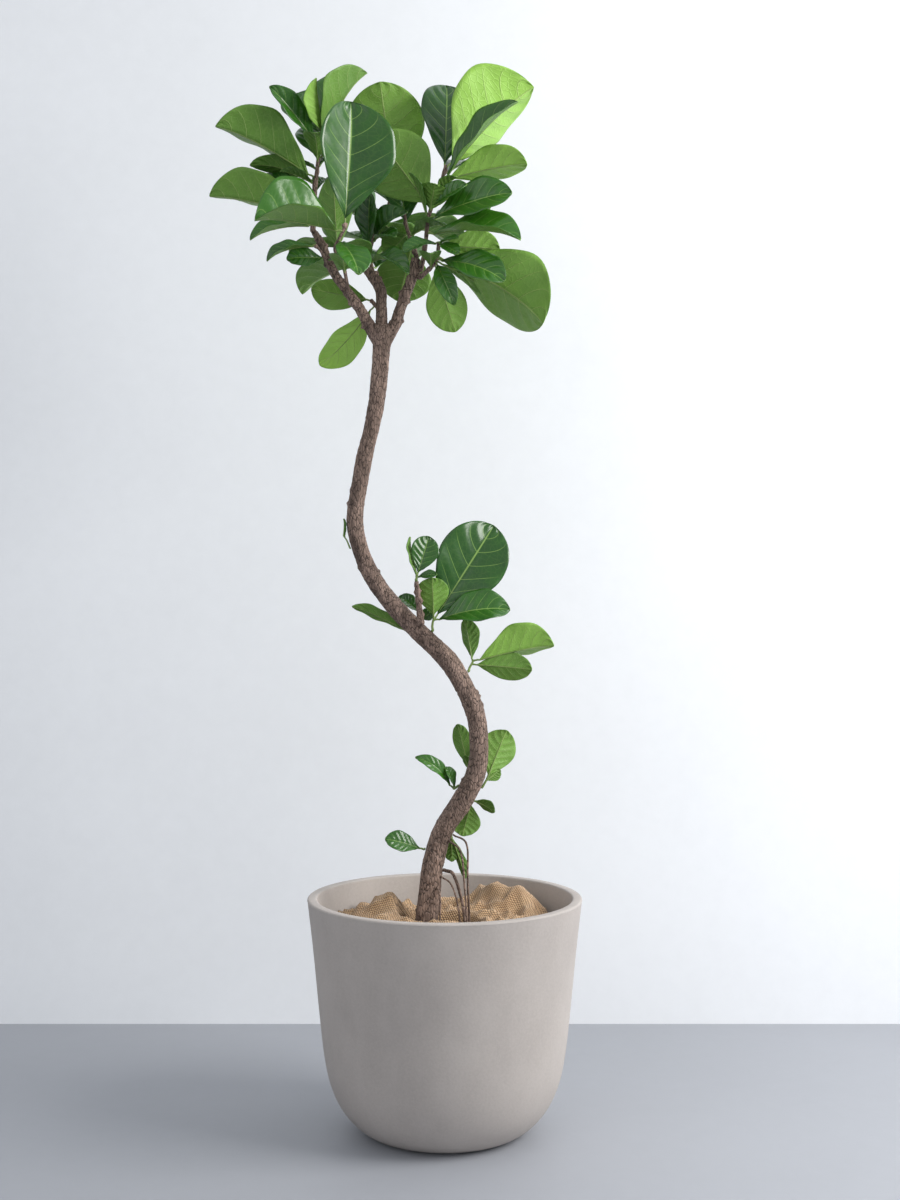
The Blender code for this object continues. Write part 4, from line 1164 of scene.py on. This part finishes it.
stem_routes = {}
placed = {}
for mass, (seat, points, ends, rows) in SHOOTS.items():
    stem_routes[mass] = seated_route(seat, points, limbs, STEM_LEAD * ends[0], STEPS_PER_SPAN)
    placed[mass] = shoot_leaves(rows, stem_routes[mass])
longest = max(leaf.length for leaves in placed.values() for leaf in leaves)
print("placed leaves:", sum(len(leaves) for leaves in placed.values()), "longest:", round(longest, 3), "m")

# %% [markdown]
# The far side of the crown isn't seen, and neither are the small leaves deep in it. Both are dealt out as the
# plant does it: each leaf turns on from the last by the golden angle. One that would cut through a limb or
# another leaf is left out, which a search tree of each body tells quickly.
# %% Leaves: dealt by rule
# how many leaves, the middle heading, how far they spread to each side, and the least and greatest length
RULED = {
    "foliage_left": (4, 215, 50, (0.100, 0.150)),
    "foliage_middle": (3, 180, 60, (0.100, 0.140)),
    "foliage_right": (5, 140, 55, (0.110, 0.150)),
    "foliage_back": (14, 180, 105, (0.110, 0.160)),
}
FILLERS = {"foliage_left": 12, "foliage_front": 6, "foliage_middle": 9, "foliage_inner": 8,
           "foliage_right": 12, "foliage_right_low": 8, "foliage_left_low": 4, "foliage_back": 12,
           "shoot_middle": 2}
FILLER_LENGTHS = (0.045, 0.100)
GOLDEN_ANGLE = 137.5
LEAF_SLENDERNESS = 0.64  # width over length
RULED_FROM, FILLERS_FROM = 0.25, 0.30  # the share of the stem where such leaves begin
# ranges in degrees, but the arch: the rise, how far the face swings aside, its lean on the rise, and the fold
FAR_RULE = {"rise": (-15, 55), "swing": 20, "lean": 80, "fold": (8, 22), "arch": (0.02, 0.10)}
FILLER_RULE = {"rise": (-10, 50), "swing": 25, "lean": 75, "fold": (10, 30), "arch": (0.03, 0.12)}


def dealt_leaf(foot, azimuth, rise, length, rule, rng):
    """A leaf whose face, fold and arch are drawn from its rule."""
    facing = (azimuth + rng.uniform(-rule["swing"], rule["swing"]), rise + rule["lean"])
    return Leaf(foot, looking(azimuth, rise) * length, length * LEAF_SLENDERNESS, facing,
                rng.uniform(*rule["fold"]), rng.uniform(*rule["arch"]))


def ruled_leaves(name, route, rng):
    """Leaves of the far side, whose golden angles are folded into the spread of the shoot's heading."""
    count, heading, reach_round, lengths = RULED[name]
    leaves = []
    for i in range(count):
        azimuth = heading + reach_round * ((i * GOLDEN_ANGLE) % 360 / 180 - 1)
        rise = rng.uniform(*FAR_RULE["rise"])
        length = rng.uniform(*lengths)
        foot = along(route, RULED_FROM + (1 - RULED_FROM) * (i + 0.5) / count)
        leaves.append(dealt_leaf(foot, azimuth, rise, length, FAR_RULE, rng))
    return leaves


def filler_leaves(name, route, rng):
    """Small leaves near the stem, all round it."""
    leaves = []
    for i in range(FILLERS[name]):
        rise = rng.uniform(*FILLER_RULE["rise"])
        length = rng.uniform(*FILLER_LENGTHS)
        foot = along(route, FILLERS_FROM + (1 - FILLERS_FROM) * rng.random())
        leaves.append(dealt_leaf(foot, (i * GOLDEN_ANGLE) % 360, rise, length, FILLER_RULE, rng))
    return leaves


def leaf_tree(leaf):
    """A search tree of a leaf's plain body."""
    bm = lofted(leaf.rings())
    made = BVHTree.FromBMesh(bm)
    bm.free()
    return made


def node_tree(name):
    """A search tree of a solid of the frame."""
    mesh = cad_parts[name].data
    corners = [vert.co for vert in mesh.vertices]
    return BVHTree.FromPolygons(corners, [face.vertices for face in mesh.polygons])


kept = {mass: list(leaves) for mass, leaves in placed.items()}
taken = [node_tree(name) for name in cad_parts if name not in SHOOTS]
taken += [leaf_tree(leaf) for leaves in placed.values() for leaf in leaves]


def keep_where_free(mass, leaf):
    """The leaf joins its mass unless it touches a solid or a leaf that is there already."""
    tree = leaf_tree(leaf)
    if not any(tree.overlap(other) for other in taken):
        kept[mass].append(leaf)
        taken.append(tree)


for dealt, masses, seed in ((ruled_leaves, RULED, SEED), (filler_leaves, FILLERS, SEED + 3)):
    rng = random.Random(seed)
    for mass in masses:
        for leaf in dealt(mass, stem_routes[mass], rng):
            keep_where_free(mass, leaf)
print("leaves:", {mass: len(leaves) for mass, leaves in kept.items()})

# %% [markdown]
# A real blade isn't flat. It is folded at the midrib, quilted between the side veins, wavy at its margin and
# often rolled at the tip. A grid is laid on the leaf's own coordinates and raised by these, so they are shape
# and show in the outline, which a bump in the material never does.
# %% Leaves: the blade's surface
ALONG_STEPS, ACROSS_STEPS = 34, 18
LEAF_THICK = 0.0007
QUILT = 0.0013
MARGIN_WAVE = 0.016  # as a share of the leaf's length
MARGIN_TURNS = 2.4
TIP_ROLL = 0.035
ROLL_FROM = 0.72  # the share of the leaf where its tip begins to roll
ROLL_GROWTH = 9
GROOVE_DEPTH, GROOVE_BREADTH = 0.0010, 0.10
POLE_MERGE = 0.00002  # closes the blade's base and tip


def vein_turn(along_share, across_share):
    """The same count of side veins that the material draws."""
    return VEIN_PAIRS * (along_share - VEIN_RAKE * abs(across_share) ** VEIN_BEND) - 0.5


def blade_point(leaf, along_share, across_share, phase):
    """A point of the finished blade."""
    edge = abs(across_share)
    quilt = -QUILT * math.cos(math.tau * vein_turn(along_share, across_share)) * edge * (1 - edge) * 4
    wave = MARGIN_WAVE * leaf.length * edge ** 3 * math.sin(math.tau * (MARGIN_TURNS * along_share + phase))
    wave *= math.sin(math.pi * min(1.0, along_share)) ** 0.5
    roll = -TIP_ROLL * leaf.length * max(0.0, along_share - ROLL_FROM) ** 2 * ROLL_GROWTH
    groove = -GROOVE_DEPTH * math.exp(-(across_share / GROOVE_BREADTH) ** 2)
    return leaf.blade(along_share, across_share, quilt + wave + roll + groove)


def eased(share):
    """Steps along the blade that are closer at its base and tip."""
    return 0.5 - 0.5 * math.cos(math.pi * share)


def add_blade(bm, leaf, tone, blade_uv, tone_layer, rng):
    """One blade as a grid on its leaf's coordinates, kept within the object's box."""
    phase = rng.random()
    verts = bmesh.ops.create_grid(bm, x_segments=ALONG_STEPS, y_segments=ACROSS_STEPS, size=0.5)["verts"]
    for face in {face for vert in verts for face in vert.link_faces}:
        for loop in face.loops:
            loop[blade_uv].uv = (eased(loop.vert.co.x + 0.5), 0.5 - loop.vert.co.y)
    low, high = CAD_BOX
    for vert in verts:
        place = blade_point(leaf, eased(vert.co.x + 0.5), -2.0 * vert.co.y, phase)
        vert.co = [min(max(value, least + LEAF_THICK), most - LEAF_THICK)
                   for value, least, most in zip(place, low, high)]
        vert[tone_layer] = tone
    bmesh.ops.remove_doubles(bm, verts=verts, dist=POLE_MERGE)


print("faces of a blade before its thickness:", ALONG_STEPS * ACROSS_STEPS)

# %% [markdown]
# Under each blade runs its midrib, which thickens into the stalk that holds the leaf. It is one tapering
# round stem from the foot to near the tip, so that no joint shows.
# %% Leaves: stalks and midribs
RIB_UNDER = 0.0014  # how far the midrib's middle lies under the blade
RIB_SIDES = 6
STALK_STEPS = 3
RIB_SHARES = (0.0, 0.08, 0.2, 0.35, 0.5, 0.65, 0.8)
RIB_RADII = (0.0018, 0.0016, 0.0015, 0.0014, 0.0012, 0.0010, 0.0008, 0.0007, 0.0005, 0.0003)


def rib_rings(leaf):
    """The stalk, and the midrib that it runs into on the underside."""
    stalk = leaf.forward * PETIOLE_SHARE * leaf.length
    route = [leaf.foot + stalk * step / STALK_STEPS for step in range(STALK_STEPS)]
    route += [leaf.blade(share, 0.0, -RIB_UNDER) for share in RIB_SHARES]
    return limb_rings(route, RIB_RADII, RIB_SIDES)


def joined_loft(bm, rings):
    """A loft added to a bmesh that holds others."""
    loft = lofted(rings)
    bmesh.ops.recalc_face_normals(loft, faces=loft.faces)
    scratch = bpy.data.meshes.new("scratch")
    loft.to_mesh(scratch)
    loft.free()
    bm.from_mesh(scratch)
    bpy.data.meshes.remove(scratch)


print("a midrib tapers from", RIB_RADII[0], "to", RIB_RADII[-1], "m")

# %% [markdown]
# Each mass becomes two or three pieces: its blades, which take their thickness from a modifier with the pale
# underside as its second material, its green stalks, and in the crown a stem with bark.
# %% Leaves: every mass
STEM_STEPS = 8
STEM_BARK, STEM_KNOTS = 0.5, 4
WOODY_ROUND, GREEN_ROUND = 12, 10  # sides of a stem
OTHER_TONES = (0.18, 0.34)  # the range for leaves without a tone of their own


def build_mass(mass, leaves, rng, rng_stems):
    """The pieces of one mass of foliage."""
    blades, twigs = bmesh.new(), bmesh.new()
    blade_uv = blades.loops.layers.uv.new("Blade")
    tone_layer = blades.verts.layers.float.new("tone")
    seat, points, ends, _ = SHOOTS[mass]
    route = seated_route(seat, points, limbs, STEM_LEAD * ends[0], STEM_STEPS)
    radii = spread(ends, len(route) - 1)
    if mass.startswith("foliage"):
        barked_limb(mass + "_stem", route, radii, WOODY_ROUND, STEM_BARK, STEM_KNOTS, (), rng_stems)
    else:
        joined_loft(twigs, limb_rings(route, radii, GREEN_ROUND))
    for leaf in leaves:
        tone = rng.uniform(*OTHER_TONES) if leaf.tone is None else leaf.tone
        add_blade(blades, leaf, tone, blade_uv, tone_layer, rng)
        joined_loft(twigs, rib_rings(leaf))
    piece = finished(mass + "_leaves", blades, [leaf_upper, leaf_under], [mass])
    thickness = thickened(piece, LEAF_THICK)
    thickness.material_offset = 1
    thickness.material_offset_rim = 0
    finished(mass + "_twigs", twigs, [twig_green], ())


rng = random.Random(SEED + 2)
rng_stems = random.Random(SEED + 4)
for mass, leaves in kept.items():
    build_mass(mass, leaves, rng, rng_stems)

# %% [markdown]
# The stage is a pale wall and a grey-blue floor that meet behind the plant. Both are clear when seen from
# their backs, so that the wall doesn't hide the plant from behind.
# %% Stage
WALL_BACK = 0.593
STAGE_HALF = 6.0
WALL_HEIGHT = 5.0
STAGE_CLOUDS, STAGE_GRAINS = 1.6, 30.0  # in a metre
STAGE_SHADE = 0.96  # the darker of the stage's two colours, as a share of the lighter


def clear_from_behind(tree, shader):
    """The shader on a face's front, and nothing on its back."""
    side = add_node(tree, "ShaderNodeNewGeometry").outputs["Backfacing"]
    clear = add_node(tree, "ShaderNodeBsdfTransparent").outputs["BSDF"]
    one_sided = add_node(tree, "ShaderNodeMixShader", {}, {0: side, 1: shader.outputs["BSDF"], 2: clear})
    tree.links.new(one_sided.outputs["Shader"], tree.nodes["Material Output"].inputs["Surface"])


def stage_plane(name, first, last, colour, roughness):
    """A flat part of the stage between two opposite corners, from a grid of one face."""
    made, tree, shader, place = new_material(name, roughness)
    shade = [value * STAGE_SHADE for value in colour]
    tint = weathered(tree, place, STAGE_CLOUDS, STAGE_GRAINS, light=colour, dark=shade)
    tree.links.new(tint.outputs["Colour"], shader.inputs["Base Color"])
    clear_from_behind(tree, shader)
    bm = bmesh.new()
    bmesh.ops.create_grid(bm, x_segments=1, y_segments=1, size=0.5)
    for vert in bm.verts:
        shares = (vert.co.x + 0.5, vert.co.y + 0.5, vert.co.y + 0.5)
        vert.co = [low + (high - low) * share for low, high, share in zip(first, last, shares)]
    mesh = bpy.data.meshes.new(name)
    bm.to_mesh(mesh)
    bm.free()
    mesh.materials.append(made)
    plane = bpy.data.objects.new(name, mesh)
    bpy.context.scene.collection.objects.link(plane)
    print(name, "made of", len(mesh.polygons), "face")


near_left, back_left = (-STAGE_HALF, -STAGE_HALF, 0), (-STAGE_HALF, WALL_BACK, 0)
back_right, top_right = (STAGE_HALF, WALL_BACK, 0), (STAGE_HALF, WALL_BACK, WALL_HEIGHT)
stage_plane("floor", near_left, back_right, colour=(0.36, 0.375, 0.41), roughness=0.55)
stage_plane("wall", back_left, top_right, colour=(0.90, 0.92, 0.95), roughness=0.9)

# %% [markdown]
# Daylight falls in from a window on the right, which lights the right of the pot and the fresh leaves, and a
# soft fill and the sky keep the shadows open. The plain view transform is used, because the default one greys
# strong greens.
# %% Light
LIGHT_AIM = (0.0, 0.0, 0.8)  # the middle of the plant
SKY_COLOUR = (0.94, 0.965, 1.0, 1.0)
SKY_STRENGTH = 0.63


def soft_light(name, place, aim, size, watts, colour):
    """A square soft light that looks at a point."""
    data = bpy.data.lights.new(name, "AREA")
    data.shape = "SQUARE"
    data.size = size
    data.energy = watts
    data.color = colour
    made = bpy.data.objects.new(name, data)
    made.location = place
    made.rotation_euler = (Vector(aim) - Vector(place)).to_track_quat("-Z", "Y").to_euler()
    bpy.context.scene.collection.objects.link(made)


soft_light("window", (2.3, -0.75, 1.9), LIGHT_AIM, size=1.6, watts=84.0, colour=(1.0, 0.985, 0.96))
soft_light("room", (-2.0, -2.6, 2.2), LIGHT_AIM, size=2.4, watts=11.0, colour=(0.97, 0.985, 1.0))
world = bpy.context.scene.world or bpy.data.worlds.new("studio")
bpy.context.scene.world = world
world.use_nodes = True
sky = world.node_tree.nodes["Background"]
sky.inputs["Color"].default_value = SKY_COLOUR
sky.inputs["Strength"].default_value = SKY_STRENGTH
bpy.context.scene.view_settings.view_transform = "Standard"
print("lights:", len(bpy.data.lights), "sky:", SKY_STRENGTH)
